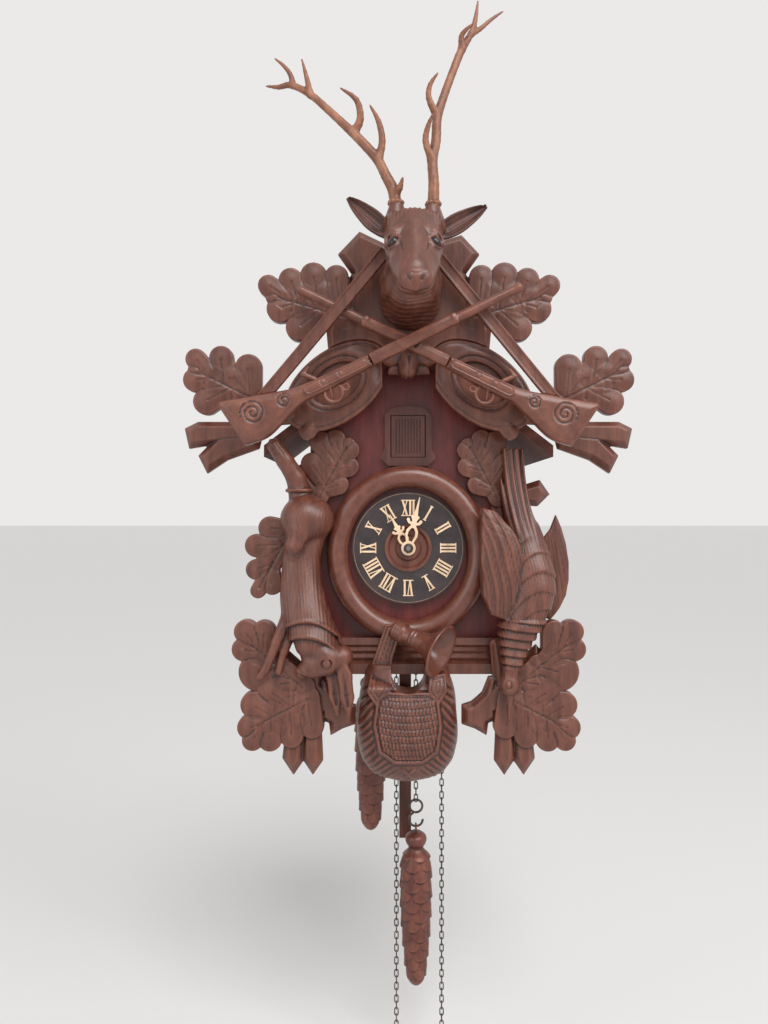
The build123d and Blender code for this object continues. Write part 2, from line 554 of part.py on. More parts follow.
for name, side in (("left", -1), ("right", 1)):
    eave_x = EAVE_REACH - 127.0
    half_x = HALF - 88.0
    eave_z = roof_under(EAVE_REACH) - 80.5
    ridge_z = RIDGE_RISE - 178.0
    leaf = oak_leaf((side * (eave_x + 122), eave_z + 124), (side * (eave_x + 186), eave_z + 156, 8),
                    moved(EAVE_LEAF, eave_x, eave_z, side), 9)
    for stub in EAVE_STUBS:
        leaf += closed([(p[0], p[1]) for p in moved(stub, eave_x, eave_z, side)])
    leaf += lobe((side * (eave_x + 122), eave_z + 124, 9), (side * (eave_x + 140), eave_z + 104, 9))
    leaf += lobe((side * (eave_x + 122), eave_z + 124, 9), (side * (eave_x + 106), eave_z + 124, 8))
    shapes["eave_leaf_" + name] = plate(leaf, ROOF_FRONT - CARVING, ROOF_FRONT)
    hole = Pos(side * 63, ridge_z + 144) * Rot(0, 0, -side * 35) * Ellipse(24, 16)
    band = Pos(side * 63, ridge_z + 142) * Rot(0, 0, -side * 37) * Ellipse(52, 31)
    band += lobe((side * 84, ridge_z + 114, 13), (side * 88, ridge_z + 103, 8))
    band += lobe((side * 84, ridge_z + 124, 14), (side * (eave_x + 112), eave_z + 118, 10))
    band -= Pos(side * -37, ridge_z + 142) * Rectangle(120, 200)
    bands.append(band)
    scrolls.append(plate(band - hole, ROOF_FRONT, SCROLL_FRONT))
    inner = oak_leaf((side * (half_x + 80), 44), (side * 54, 92, 7), moved(SIDE_LEAF, 0, 0, side), 8)
    inner += lobe((side * (half_x + 80), 44, 8), (side * (half_x + 96), -20, 10))
    inner += lobe((side * (half_x + 80), 44, 8), (side * (half_x + 98), 84, 7))
    if side < 0:
        inner += oak_leaf((-half_x - 96, -14), (-half_x - 136, -12, 7), moved(OUTER_LEAF, half_x, 0, -1), 9)
    else:
        inner += lobe((half_x + 96, 44, 6), (half_x + 114, 50, 7))
    shapes["side_leaf_" + name] = plate(inner, FACE, LEAF_FRONT) - horn_room
    low = -BASE_DROP + 111.0
    skirt = oak_leaf((side * (half_x + 92), low - 120), (side * (half_x + 138), low - 82, 8),
                     moved(SKIRT_LEAF_UP, half_x, low, side), 11)
    skirt += oak_leaf((side * (half_x + 88), low - 130), (side * (half_x + 134), low - 154, 8),
                      moved(SKIRT_LEAF_DOWN, half_x, low, side), 11)
    skirt += lobe((side * (half_x + 84), low - 128, 15), (side * 62, low - 138, 10))
    skirt += closed([(p[0], p[1]) for p in moved(SKIRT_HEART, half_x, low, side)])
    skirt += closed([(side * 46.5, low - 132), (side * 60, low - 128), (side * 70, low - 116),
                     (side * 74, low - 150), (side * 67, low - 161), (side * 46.5, low - 150)])
    skirt += lobe((side * (half_x + 82), low - 118, 8), (side * (half_x + 76), low - 84, 5))
    for foot, root in ((84, 86), (101, 98)):
        skirt += closed([(side * (half_x + foot - 9), low - 186), (side * (half_x + foot), low - 199),
                         (side * (half_x + foot + 10), low - 184), (side * (half_x + root + 7), low - 140),
                         (side * (half_x + root - 8), low - 140)])
    shapes["skirt_" + name] = plate(skirt, SKIRT_BACK, SKIRT_FRONT)

shapes["gable_scrolls"] = Compound(children=[s for p in scrolls for s in p.solids()])
CROWN = [(-45, 270), (-60, 252), (-48, 238), (-64, 214), (-72, 190), (-70, 168), (-20, 168), (-20, 152),
         (20, 152),
         (20, 168), (70, 168), (72, 190), (64, 214), (48, 238), (60, 252), (46, 268), (20, 262), (-20, 262)]
crown = closed(moved(CROWN, 0, ridge_z, 1))
for side in (-1, 1):
    crown += oak_leaf((side * 54, ridge_z + 200), (side * 116, ridge_z + 218, 8),
                      moved(CROWN_LEAF, 0, ridge_z, side), 10)
for band in bands:
    crown -= band
crown = plate(crown, ROOF_FRONT, SCROLL_FRONT)
pendant = lobe((0, ridge_z + 168, 12), (-1, ridge_z + 153, 6))
for side in (-1, 1):
    pendant += lobe((0, ridge_z + 170, 8), (side * 16, ridge_z + 166, 8))
shapes["crown_board"] = crown + plate(pendant, SCROLL_FRONT, PENDANT_FRONT)


# Crossed rifles, drawn along the barrel from the butt.
stock_outline = Spline((0, 25), (42, 13), (66, 7), (84, 6), (132, 5.5)) + Line((132, 5.5), (132, -5))
stock_outline += Line((132, -5), (86, -7)) + Spline((86, -7), (66, -7), (48, -13), (26, -20), (6, -18))
stock_outline += Line((6, -18), (0, 25))
stock_face = make_face(stock_outline)
FORE_END = 212.0
barrel_face = closed([(132, -5.2), (FORE_END, -4.4), (FORE_END, -3.2), (RIFLE_LENGTH, -2.8), (RIFLE_LENGTH, 3.6),
                      (FORE_END, 4.0), (FORE_END, 5.2), (132, 6.0)])


def on_rifle(side, back):
    tilt = math.radians(RIFLE_TILT)
    return Plane(origin=spot(-side * BUTT_X, ridge_z + BUTT_Z, back),
                 x_dir=(side * math.cos(tilt), 0, math.sin(tilt)), z_dir=(0, -side, 0))


rifles = {"front": (1, FRONT_RIFLE), "back": (-1, BACK_RIFLE)}
stocks = []
locks = []
barrels = []
for name, (side, back) in rifles.items():
    place = on_rifle(side, back)
    grow = RIFLE_THICK * side
    guard = Pos(92, -11) * (Circle(8.5) - Circle(6.5) - Pos(0, 13) * Rectangle(30, 16))
    stock = extrude(place * stock_face, amount=0.83 * grow)
    stocks.append(stock)
    barrels.append(extrude(place * barrel_face, amount=0.75 * grow))
    lock = extrude(place.offset(0.83 * grow) * (Pos(100, 0) * RectangleRounded(58, 9, 4)), amount=0.14 * grow)
    hammer_part = lobe((82, 6.3, 2.2), (76, 14, 1.8)) + lobe((76, 14, 1.8), (82, 17, 1.2))
    trigger = extrude(place.offset(0.3 * grow) * guard, amount=0.35 * grow) - stock
    cock = extrude(place.offset(0.3 * grow) * hammer_part, amount=0.35 * grow) - stock
    locks += [lock, trigger, cock]
shapes["rifle_stocks"] = Compound(children=[s for p in stocks for s in p.solids()])
shapes["rifle_barrels"] = Compound(children=[s for b in barrels for s in b.solids()])
shapes["rifle_locks"] = Compound(children=[s for p in locks for s in p.solids()])
slings = []
for side, back, top in ((-1, FRONT_RIFLE, (-26.5, 243)), (1, BACK_RIFLE, (29, 243))):
    foot = (side * (BUTT_X - 25), BUTT_Z + 23.5)
    run = (foot[0] - top[0], foot[1] - top[1])
    length = math.hypot(*run)
    strap = Pos((top[0] + foot[0]) / 2, ridge_z + (top[1] + foot[1]) / 2)
    strap *= Rot(0, 0, math.degrees(math.atan2(run[1], run[0])))
    slings.append(plate(strap * Rectangle(length, 10.5), back, back + 4.5) - stocks[0] - stocks[1])
shapes["rifle_slings"] = Compound(children=[s for p in slings for s in p.solids()])

# Stag: neck and head, ears, and two antlers, each fitted against the head.
# Stations are (x, z, out from the crown board, half-width, half-height).
NECK = [(1, 218, 0, 27, 33), (1, 224, 18, 25, 30), (2, 240, 36, 22, 26), (2, 250, 48, 16, 18)]
HEAD = [(2, 276, 32, 9, 8), (2, 266, 41, 18, 16), (2, 248, 56, 23.5, 20), (2, 226, 74, 15.5, 15),
        (2, 209, 86, 12, 12), (2, 203, 90, 7, 6)]


def raised(stations, base):
    return [(x, z + ridge_z, out + base, *sizes) for x, z, out, *sizes in stations]


neck = limb(raised(NECK, SCROLL_FRONT), side=(1, 0, 0))
head = limb(raised(HEAD, SCROLL_FRONT), side=(1, 0, 0))
stag = neck + head - block(-100, 100, 0, 400, 0, SCROLL_FRONT)
stag -= plate(offset(pendant, FIT), 0, PENDANT_FRONT + FIT)
EAR = [(0.0, 5.0, 3.0), (0.3, 8.5, 3.6), (0.6, 7.5, 2.8), (0.85, 4.0, 1.8), (1.0, 0.8, 0.8)]
ears = []
for base, tip in (((-19, 257), (-51, 285)), ((24, 256), (60, 278))):
    points = []
    for share, wide, thick in EAR:
        points.append((base[0] + share * (tip[0] - base[0]), ridge_z + base[1] + share * (tip[1] - base[1]),
                       SCROLL_FRONT + 41 - 6 * share, thick, wide))
    ears.append(limb(points) - stag)
shapes["stag_ears"] = Compound(children=[s for e in ears for s in e.solids()])
ANTLER_LEFT = [(-9, 268, 42, 5.5), (-12, 292, 40, 5.2), (-17, 303, 38, 5.0), (-26, 317, 35, 4.8),
               (-40, 334, 30, 4.6), (-56, 346, 24, 4.2), (-81, 371, 15, 3.8), (-96, 376, 9, 3.2),
               (-117, 377, 2, 1.0)]
LEFT_TINES = [[(-13, 293, 41, 3.5), (-9, 300, 46, 2.2), (-6.5, 305, 50, 0.8)],
              [(-26, 319, 35, 3.6), (-25, 336, 40, 3.2), (-28, 350, 43, 2.4), (-33, 361, 45, 0.8)],
              [(-43, 338, 29, 3.6), (-45, 354, 32, 3.0), (-57, 375, 36, 0.8)],
              [(-82, 372, 15, 3.2), (-86, 386, 17, 2.2), (-88, 399, 18, 0.8)],
              [(-95, 376, 9, 3.0), (-101, 388, 8, 2.2), (-109, 399, 7, 0.8)]]
ANTLER_RIGHT = [(17, 266, 42, 5.5), (18, 294, 40, 5.2), (18, 313, 38, 5.0), (20, 333, 35, 4.8),
                (22, 352, 32, 4.5), (27, 367, 29, 4.3), (35, 389, 25, 4.0), (42, 408, 22, 3.8),
                (51, 427, 19, 3.0), (55, 447, 16, 0.9)]
RIGHT_TINES = [[(18, 312, 38, 3.8), (13, 328, 43, 3.2), (13, 342, 47, 2.4), (17, 355, 50, 0.8)],
               [(22, 354, 32, 3.6), (16, 368, 36, 2.8), (21, 387, 40, 0.8)],
               [(40, 402, 22, 3.0), (43, 414, 25, 2.0), (47, 425, 27, 0.8)],
               [(51, 425, 19, 2.8), (61, 431, 16, 2.2), (74, 436, 13, 0.8)]]
for name, beam, tines in (("left", ANTLER_LEFT, LEFT_TINES), ("right", ANTLER_RIGHT, RIGHT_TINES)):
    antler = limb(raised(beam, SCROLL_FRONT))
    for tine in tines:
        antler += limb(raised(tine, SCROLL_FRONT))
    antler = antler - stag - shapes["stag_ears"]
    shapes["antler_" + name] = max(antler.solids(), key=lambda s: s.volume)
shapes["stag_head"] = stag

# Hare and game bird, hung head down; the backs lie on the leaves and the horn.
# Stations are (x, z, out from the front board, half-depth, half-width).
def hung(figure):
    figure = figure - block(-300, 300, -62, 300, 0, LEAF_FRONT)
    figure = figure - block(-300, 300, -300, -62, 0, SKIRT_FRONT)
    return figure - horn_room


def beside(stations, shift):
    return [(x + shift, z, out + FACE, *sizes) for x, z, out, *sizes in stations]


HARE_BODY = [(-92, 68, 14, 5, 5), (-94, 52, 15, 9, 9), (-91, 34, 16, 15, 20), (-90, 16, 18, 20, 23),
             (-94, -10, 21, 20, 21), (-93, -36, 24, 19, 20), (-88, -60, 29, 19, 22), (-80, -80, 32, 17, 23),
             (-75, -94, 34, 12, 18)]
HARE_HEAD = [(-56, -92, 34, 9, 8), (-68, -93, 35, 13, 13), (-82, -99, 35, 11, 11), (-94, -106, 34, 5, 5)]
HARE_PAW = [(-108, -62, 32, 5, 6), (-118, -86, 34, 4, 4), (-128, -108, 33, 3, 3)]
side_shift = HALF - 88.0
hare = limb(beside(HARE_BODY, -side_shift)) + limb(beside(HARE_HEAD, -side_shift))
for tip, out in ((-53, 40), (-62, 34)):
    ear = [(-58, -92, out - 3, 4, 5), (tip - 1, -112, out, 3, 7), (tip, -130, out, 3, 6),
           (tip + 1, -143, out - 1, 1, 1.5)]
    hare += limb(beside(ear, -side_shift))
hare += limb(beside(HARE_PAW, -side_shift))
shapes["hare"] = hung(hare).solids().sort_by(lambda s: s.volume)[-1]
GAME_BODY = [(92, 86, 12, 4, 9), (94, 50, 16, 8, 12), (100, 18, 20, 14, 16), (106, -14, 24, 20, 21),
             (106, -40, 27, 21, 22), (98, -62, 30, 17, 21), (92, -80, 32, 12, 15), (88, -98, 34, 8, 9),
             (86, -110, 34, 8, 8), (86, -124, 34, 4, 4), (86, -146, 33, 0.8, 0.8)]
WING = [(62, 36), (74, 33), (88, 17), (97, 2), (102, -14), (105, -35), (100, -57), (84, -61), (70, -56),
        (63, -40),
        (61, -10)]
FAR_WING = [(131, 28), (139, 4), (142, -20), (140, -42), (131, -61), (116, -52), (112, -10), (118, 6)]
game = limb(beside(GAME_BODY, side_shift))
wing = closed([(x + side_shift, z) for x, z in WING])
game += plate(wing, FACE + 23, FACE + 40)
shapes["game_bird"] = hung(game).solids().sort_by(lambda s: s.volume)[-1]
far_wing = closed([(x + side_shift, z) for x, z in FAR_WING])
far_wing = plate(far_wing, LEAF_FRONT, LEAF_FRONT + 6) - shapes["game_bird"]
shapes["game_bird"] = Compound(children=shapes["game_bird"].solids() + far_wing.solids())

# Game bag under the case, with its strap over the moulding, and the bell bound to the horn.
# Bag stations are (z, bulge, half-width).
BAG = [(-112, 20, 24), (-128, 28, 36), (-150, 32, 42), (-172, 32, 43), (-188, 26, 36), (-202, 12, 18)]
STRAP_TABS = [[(-35, -108), (-17, -108), (-16, -122), (-26, -137), (-36, -122)],
              [(17, -110), (31, -110), (32, -121), (24, -134), (16, -121)]]
STRAP = [(-20, -66), (-4, -66), (-14, -100), (-18, -132), (-34, -130), (-30, -104)]
bag_back = SKIRT_BACK
bag = limb([(-1, low + z, bag_back, bulge, wide) for z, bulge, wide in BAG])
bag -= block(-100, 100, low - 260, low, 0, bag_back)
bag -= plate(Pos(-1, low - 112) * Circle(15), 0, 300)
horn_front = LEAF_FRONT + HORN_TUBE
bag += plate(closed([(x, low + z) for x, z in STRAP]), horn_front + FIT, horn_front + 5)
for tab in STRAP_TABS:
    bag += plate(closed([(x, low + z) for x, z in tab]), bag_back, bag_back + 24)
shapes["game_bag"] = bag - horn_room
neck_point = spot(-6, low - 73, FACE + 25)
mouth_point = spot(27, low - 86, FACE + 45)
axis_run = mouth_point - neck_point
along = axis_run.length
bell_plane = Plane(origin=neck_point, x_dir=Vector(0, 0, 1).cross(axis_run), z_dir=axis_run)
bell_points = [(0, -8), (6.5, -8), (7.5, 2), (7.0, 12), (9.0, along - 18), (14.0, along - 7),
               (BELL_MOUTH, along), (BELL_MOUTH - 1.5, along + 1.0), (11.0, along - 7), (5.0, along - 14),
               (0, along - 16)]
bell_ring = [bell_plane.from_local_coords(Vector(r, 0, t)) for r, t in bell_points]
bell = revolve(make_face(Polyline(*bell_ring, close=True)), axis=Axis(neck_point, axis_run))
shapes["horn_bell"] = bell - horn_room - shapes["game_bag"]


os.makedirs("parts", exist_ok=True)
for name, shape in shapes.items():
    export_step(shape, f"parts/{name}.step")
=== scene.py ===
import bpy
from functools import partial, reduce
import json
import math
import numpy as np
from numpy import arctan2, clip, hypot, sin, sqrt
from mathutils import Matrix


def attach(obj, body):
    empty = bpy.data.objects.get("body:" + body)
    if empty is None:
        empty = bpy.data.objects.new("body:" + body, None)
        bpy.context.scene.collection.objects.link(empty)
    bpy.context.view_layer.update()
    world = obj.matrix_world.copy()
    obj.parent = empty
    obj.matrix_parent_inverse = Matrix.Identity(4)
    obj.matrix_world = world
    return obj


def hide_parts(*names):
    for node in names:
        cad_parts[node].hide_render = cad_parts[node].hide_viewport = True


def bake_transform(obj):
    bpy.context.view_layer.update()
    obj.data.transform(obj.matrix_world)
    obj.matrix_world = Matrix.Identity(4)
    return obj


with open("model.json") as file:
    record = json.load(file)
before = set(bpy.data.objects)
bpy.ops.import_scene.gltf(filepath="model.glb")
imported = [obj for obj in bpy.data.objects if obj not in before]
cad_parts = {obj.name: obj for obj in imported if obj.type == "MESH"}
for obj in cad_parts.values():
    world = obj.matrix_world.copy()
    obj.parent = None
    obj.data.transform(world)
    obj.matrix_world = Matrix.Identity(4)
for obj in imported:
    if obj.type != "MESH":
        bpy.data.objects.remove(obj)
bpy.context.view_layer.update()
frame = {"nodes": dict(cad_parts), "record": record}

# Sculpting works in millimetres: x to the right, d forward from the wall, z up from the dial centre.
DIAL_DROP = 130.0
FACE = 118.0
ROOF_FRONT = 138.0
SCROLL_FRONT = 148.0
PENDANT_FRONT = 158.0
LEAF_FRONT = 126.0
SKIRT_BACK = 134.0
SKIRT_FRONT = 146.0
BACK_RIFLE = 158.0
FRONT_RIFLE = 167.0
FINE = 0.8


def smin(a, b, k):
    h = clip(0.5 + 0.5 * (b - a) / k, 0, 1)
    return b * (1 - h) + a * h - k * h * (1 - h)


def smax(a, b, k):
    return -smin(-a, -b, k)


def together(*parts):
    return reduce(np.minimum, parts)


def within(*parts):
    return reduce(np.maximum, parts)


def smooth(a, b, v):
    t = clip((v - a) / (b - a), 0, 1)
    return t * t * (3 - 2 * t)


def ridge(v, width):
    return np.exp(-(v / width) ** 2)


def curve(points, at, column=1):
    """Smooth line through one column of values by position, read at every entry of an array."""
    xs = np.array([p[0] for p in points], float)
    ys = np.array([p[column] for p in points], float)
    order = np.argsort(xs)
    xs, ys = xs[order], ys[order]
    slope = np.gradient(ys, xs)
    i = clip(np.searchsorted(xs, at) - 1, 0, len(xs) - 2)
    w = xs[i + 1] - xs[i]
    t = clip((at - xs[i]) / w, 0, 1)
    a, b = ys[i], ys[i + 1]
    return (a * (1 + 2 * t) * (1 - t) ** 2 + slope[i] * w * t * (1 - t) ** 2
            + b * t * t * (3 - 2 * t) + slope[i + 1] * w * t * t * (t - 1)).astype(np.float32)


def rod(p, a, b, ra, rb):
    """Distance to a rod between points (x, z, d) whose radius runs from ra to rb."""
    x, d, z = p
    ux, uz, ud = b[0] - a[0], b[1] - a[1], b[2] - a[2]
    x, z, d = x - a[0], z - a[1], d - a[2]
    t = clip((x * ux + z * uz + d * ud) / (ux * ux + uz * uz + ud * ud), 0, 1)
    gap = sqrt((x - t * ux) ** 2 + (z - t * uz) ** 2 + (d - t * ud) ** 2)
    return gap - (ra + t * (rb - ra))


def limb(p, stations, k=0.5):
    whole = None
    for a, b in zip(stations[:-1], stations[1:]):
        part = rod(p, a[:3], b[:3], a[3], b[3])
        whole = part if whole is None else smin(whole, part, k)
    return whole


def ball(p, x, z, d, rx, rz=None, rd=None):
    rz, rd = rz or rx, rd or rx
    q = sqrt(((p[0] - x) / rx) ** 2 + ((p[2] - z) / rz) ** 2 + ((p[1] - d) / rd) ** 2)
    return (q - 1) * min(rx, rz, rd)


def flat_rod(x, z, a, b, ra, rb):
    """Distance to a flat rod, distance to its middle line, and the share of the way from a to b."""
    ux, uz = b[0] - a[0], b[1] - a[1]
    x, z = x - a[0], z - a[1]
    t = clip((x * ux + z * uz) / (ux * ux + uz * uz), 0, 1)
    gap = hypot(x - t * ux, z - t * uz)
    return gap - (ra + t * (rb - ra)), gap, t


def slab(p, outline, back, front, edge, foot, slope=1.0):
    """A board with this outline between two depths, rounded at its front edge and at its foot."""
    return smax(smax(outline, (p[1] - front) * slope, edge), back - p[1], foot)


def polygon(x, z, points):
    inside = np.zeros(x.shape, bool)
    best = np.full(x.shape, 1e9, np.float32)
    for a, b in zip(points, points[1:] + points[:1]):
        best = np.minimum(best, flat_rod(x, z, a, b, 0, 0)[0])
        if a[1] != b[1]:
            cross = (a[1] > z) != (b[1] > z)
            inside ^= cross & (x < (b[0] - a[0]) * (z - a[1]) / (b[1] - a[1]) + a[0])
    return np.where(inside, -best, best)


# A lobe's centre is pulled in, and its radius grown, by this share of the radius.
LOBE_SPREAD = 0.32
LEAF_REACH = 60.0


def oak_leaf(p, leaf, back, front, curl, bend=None):
    """An oak leaf with carved vein lines, which curls forward away from its root or its bend."""
    root, tip, rib, lobes = leaf
    x, z = p[0], p[2]
    run = (tip[0] - root[0], tip[1] - root[1])
    size = math.hypot(*run)
    outline, gap, t = flat_rod(x, z, root, tip[:2], rib, tip[2])
    vein = ridge(gap, 1.1) * (t < 0.97)
    crease = np.zeros_like(outline)
    corners = [root, tip[:2]]
    for lx, lz, radius in lobes:
        share = ((lx - root[0]) * run[0] + (lz - root[1]) * run[1]) / size**2
        share = min(max(share - 0.22, 0.0), 0.8)
        base = (root[0] + share * run[0], root[1] + share * run[1])
        pull = 1 - LOBE_SPREAD * radius / math.hypot(lx - base[0], lz - base[1])
        middle = (base[0] + pull * (lx - base[0]), base[1] + pull * (lz - base[1]))
        part, gap, t = flat_rod(x, z, base, middle, rib, radius * (1 + LOBE_SPREAD))
        vein = np.maximum(vein, 0.8 * ridge(gap, 0.9) * (t < 0.95) * (part < 0))
        crease = np.maximum(crease, ridge(part - outline, 1.6) * (part < 0))
        outline = together(outline, part)
        corners.append(middle)
    mid_x = sum(c[0] for c in corners) / len(corners)
    mid_z = sum(c[1] for c in corners) / len(corners)
    corners.sort(key=lambda c: math.atan2(c[1] - mid_z, c[0] - mid_x))
    outline = together(outline, polygon(x, z, corners))
    bend = bend or root
    away = hypot(x - bend[0], z - bend[1]) / LEAF_REACH
    lift = curl * away**2
    swell = smooth(0, -12, outline)
    top = back + (front - back) * (0.86 + 0.14 * swell) - 0.8 * vein - 0.45 * crease + lift
    return slab(p, outline, back + lift * 0.8, top, 1.2, 0.4, 0.85)


def stub(p, points, back, front):
    outline = polygon(p[0], p[2], points)
    top = back + (front - back) * (0.45 + 0.55 * clip(-outline / 5.0, 0, 1))
    return slab(p, outline, back, top, 0.6, 0.4, 0.8)


def surface(field, low, high, step):
    """Meshes the zero level of a field on a grid, one vertex in each cell that the surface crosses."""
    axes = [np.arange(a - 2 * step, b + 3 * step, step, dtype=np.float32) for a, b in zip(low, high)]
    p = np.meshgrid(*axes, indexing="ij")
    f = clip(field(p), -4, 4).astype(np.float32)
    f[0], f[-1], f[:, 0], f[:, -1], f[:, :, 0], f[:, :, -1] = (4.0,) * 6
    n = f.shape
    cells = (n[0] - 1, n[1] - 1, n[2] - 1)
    stride = np.array([cells[1] * cells[2], cells[2], 1])
    where, points, edges = [], [], []
    for axis in range(3):
        a = np.take(f, range(n[axis] - 1), axis)
        b = np.take(f, range(1, n[axis]), axis)
        at = np.argwhere((a < 0) != (b < 0))
        fa, fb = a[tuple(at.T)], b[tuple(at.T)]
        spot = at.astype(np.float32)
        spot[:, axis] += fa / (fa - fb)
        i, j = [o for o in range(3) if o != axis]
        keep = (at[:, i] > 0) & (at[:, j] > 0) & (at[:, i] < n[i] - 1) & (at[:, j] < n[j] - 1)
        at, spot, fa = at[keep], spot[keep], fa[keep]
        ring = []
        for oi, oj in ((1, 1), (0, 1), (0, 0), (1, 0)):
            cell = at.copy()
            cell[:, i] -= oi
            cell[:, j] -= oj
            ring.append(cell @ stride)
            where.append(ring[-1])
            points.append(spot)
        flip = (fa < 0) != (axis == 1)
        quad = np.stack(ring, 1)
        quad[flip] = quad[flip][:, ::-1]
        edges.append(quad)
    where, points, quads = np.concatenate(where), np.concatenate(points), np.concatenate(edges)
    total = cells[0] * cells[1] * cells[2]
    count = np.bincount(where, minlength=total)
    used = np.nonzero(count)[0]
    number = np.zeros(total, np.int64)
    number[used] = np.arange(len(used))
    verts = np.stack([np.bincount(where, points[:, c], total)[used] / count[used] for c in range(3)], 1)
    # Relief: how far each vertex lies in a hollow (low) or on a ridge (high); materials turn it into painted
    # shade.
    soft = f
    for axis in range(3):
        for reach in (1, 2):
            soft = (np.roll(soft, reach, axis) + soft + np.roll(soft, -reach, axis)) / 3
    near = clip(np.round(verts).astype(int), 0, np.array(n) - 1)
    relief = (soft - f)[near[:, 0], near[:, 1], near[:, 2]] / step
    verts = verts * step + np.array([ax[0] for ax in axes])
    return verts, number[quads], relief


def to_mesh(name, verts, faces, relief=None):
    mesh = bpy.data.meshes.new(name)
    place = np.stack([verts[:, 0], -verts[:, 1], verts[:, 2] - DIAL_DROP], 1) / 1000.0
    mesh.vertices.add(len(place))
    mesh.vertices.foreach_set("co", place.astype(np.float32).ravel())
    mesh.loops.add(faces.size)
    mesh.loops.foreach_set("vertex_index", faces.astype(np.int32).ravel())
    mesh.polygons.add(len(faces))
    starts = np.arange(0, faces.size, faces.shape[1], dtype=np.int32)
    mesh.polygons.foreach_set("loop_start", starts)
    mesh.update(calc_edges=True)
    mesh.validate()
    mesh.shade_smooth()
    # The relief attribute drives painted shade in the hollows.
    if relief is not None:
        depth = mesh.attributes.new("relief", "FLOAT", "POINT")
        depth.data.foreach_set("value", clip(relief, -1, 1).astype(np.float32))
    return mesh


def in_scene(name, data):
    obj = bpy.data.objects.new(name, data)
    bpy.context.scene.collection.objects.link(obj)
    return obj


def piece(name, mesh, material, body, nodes=()):
    obj = in_scene(name, mesh)
    mesh.materials.append(material)
    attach(obj, body)
    if nodes:
        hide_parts(*nodes)
    return obj


def carve(name, field, low, high, nodes, material=None, step=None, body="case"):
    """low and high are (x, d, z) corners of the space to mesh."""
    verts, quads, relief = surface(field, low, high, step or FINE)
    return piece(name, to_mesh(name, verts, quads, relief), material or CARVED, body, nodes)


def tone(r, g, b):
    return tuple((c / 255.0) ** 2.2 for c in (r, g, b)) + (1.0,)


def settle(node, **values):
    for label, value in values.items():
        node.inputs[label.replace("_", " ")].default_value = value
    return node


def add(tree, kind, **values):
    return settle(tree.nodes.new("ShaderNode" + kind), **values)


def join(source, out, target, into):
    source.id_data.links.new(source.outputs[out], target.inputs[into])


def colour_ramp(tree, low, middle, high):
    """Three (position, colour) stops."""
    made = add(tree, "ValToRGB")
    stops = made.color_ramp.elements
    for stop, (place, shade) in zip(stops, (low, high)):
        stop.position = place
        stop.color = shade
    stops.new(middle[0]).color = middle[1]
    return made


SPECK_SCALE = 900.0
SPECK_DEPTH = 0.0004
GRAIN_DEPTH = 0.0008
RELIEF_REACH = 0.55
# Stops for painted shade by relief: hollows darkest, level surfaces a little darker, ridges at full colour.
HOLLOW_PAINTED_SHADE = (0.1, (0.22, 0.17, 0.15, 1))
LEVEL_PAINTED_SHADE = (0.5, (0.8, 0.8, 0.8, 1))
RIDGE_FULL_COLOUR = (0.9, (1, 1, 1, 1))


def look(name, tones, rough, grain, bump, metal=0.0, coat=0.0, relief=False):
    """A procedural material: streaked colour, uneven gloss, fine bump, and, where relief is on, painted shade
    that darkens the hollows while ridges keep their full colour.
    """
    mat = bpy.data.materials.new(name)
    mat.use_nodes = True
    tree = mat.node_tree
    shader = tree.nodes["Principled BSDF"]
    settle(shader, Metallic=metal, Coat_Weight=coat, Coat_Roughness=0.25)
    coords = add(tree, "TexCoord")
    stretch = add(tree, "Mapping", Scale=grain)
    streaks = add(tree, "TexNoise", Scale=1.0, Detail=6.0, Roughness=0.62)
    join(coords, "Object", stretch, "Vector")
    join(stretch, "Vector", streaks, "Vector")
    dark, middle, light = (tone(*shade) for shade in tones)
    ramp = colour_ramp(tree, (0.3, dark), (0.5, middle), (0.72, light))
    join(streaks, "Fac", ramp, "Fac")
    colour = (ramp, "Color")
    # Painted shade: the relief attribute darkens the base colour strongly in hollows and a little on level
    # surfaces.
    if relief:
        cut = add(tree, "Attribute")
        cut.attribute_name = "relief"
        depth = add(tree, "MapRange", From_Min=-RELIEF_REACH, From_Max=RELIEF_REACH)
        join(cut, "Fac", depth, "Value")
        painted_shade = colour_ramp(tree, HOLLOW_PAINTED_SHADE, LEVEL_PAINTED_SHADE, RIDGE_FULL_COLOUR)
        join(depth, "Result", painted_shade, "Fac")
        shaded = add(tree, "Mix")
        shaded.data_type = "RGBA"
        shaded.blend_type = "MULTIPLY"
        shaded.inputs[0].default_value = 1.0
        join(*colour, shaded, 6)
        join(painted_shade, "Color", shaded, 7)
        colour = (shaded, 2)
    join(*colour, shader, "Base Color")
    speck = add(tree, "TexNoise", Scale=SPECK_SCALE, Detail=3.0)
    join(coords, "Object", speck, "Vector")
    gloss = add(tree, "MapRange", To_Min=rough - 0.12, To_Max=rough + 0.14)
    join(streaks, "Fac", gloss, "Value")
    join(gloss, "Result", shader, "Roughness")
    pore = add(tree, "Bump", Strength=bump, Distance=SPECK_DEPTH)
    join(speck, "Fac", pore, "Height")
    line = add(tree, "Bump", Strength=bump, Distance=GRAIN_DEPTH)
    join(streaks, "Fac", line, "Height")
    join(pore, "Normal", line, "Normal")
    join(line, "Normal", shader, "Normal")
    return mat


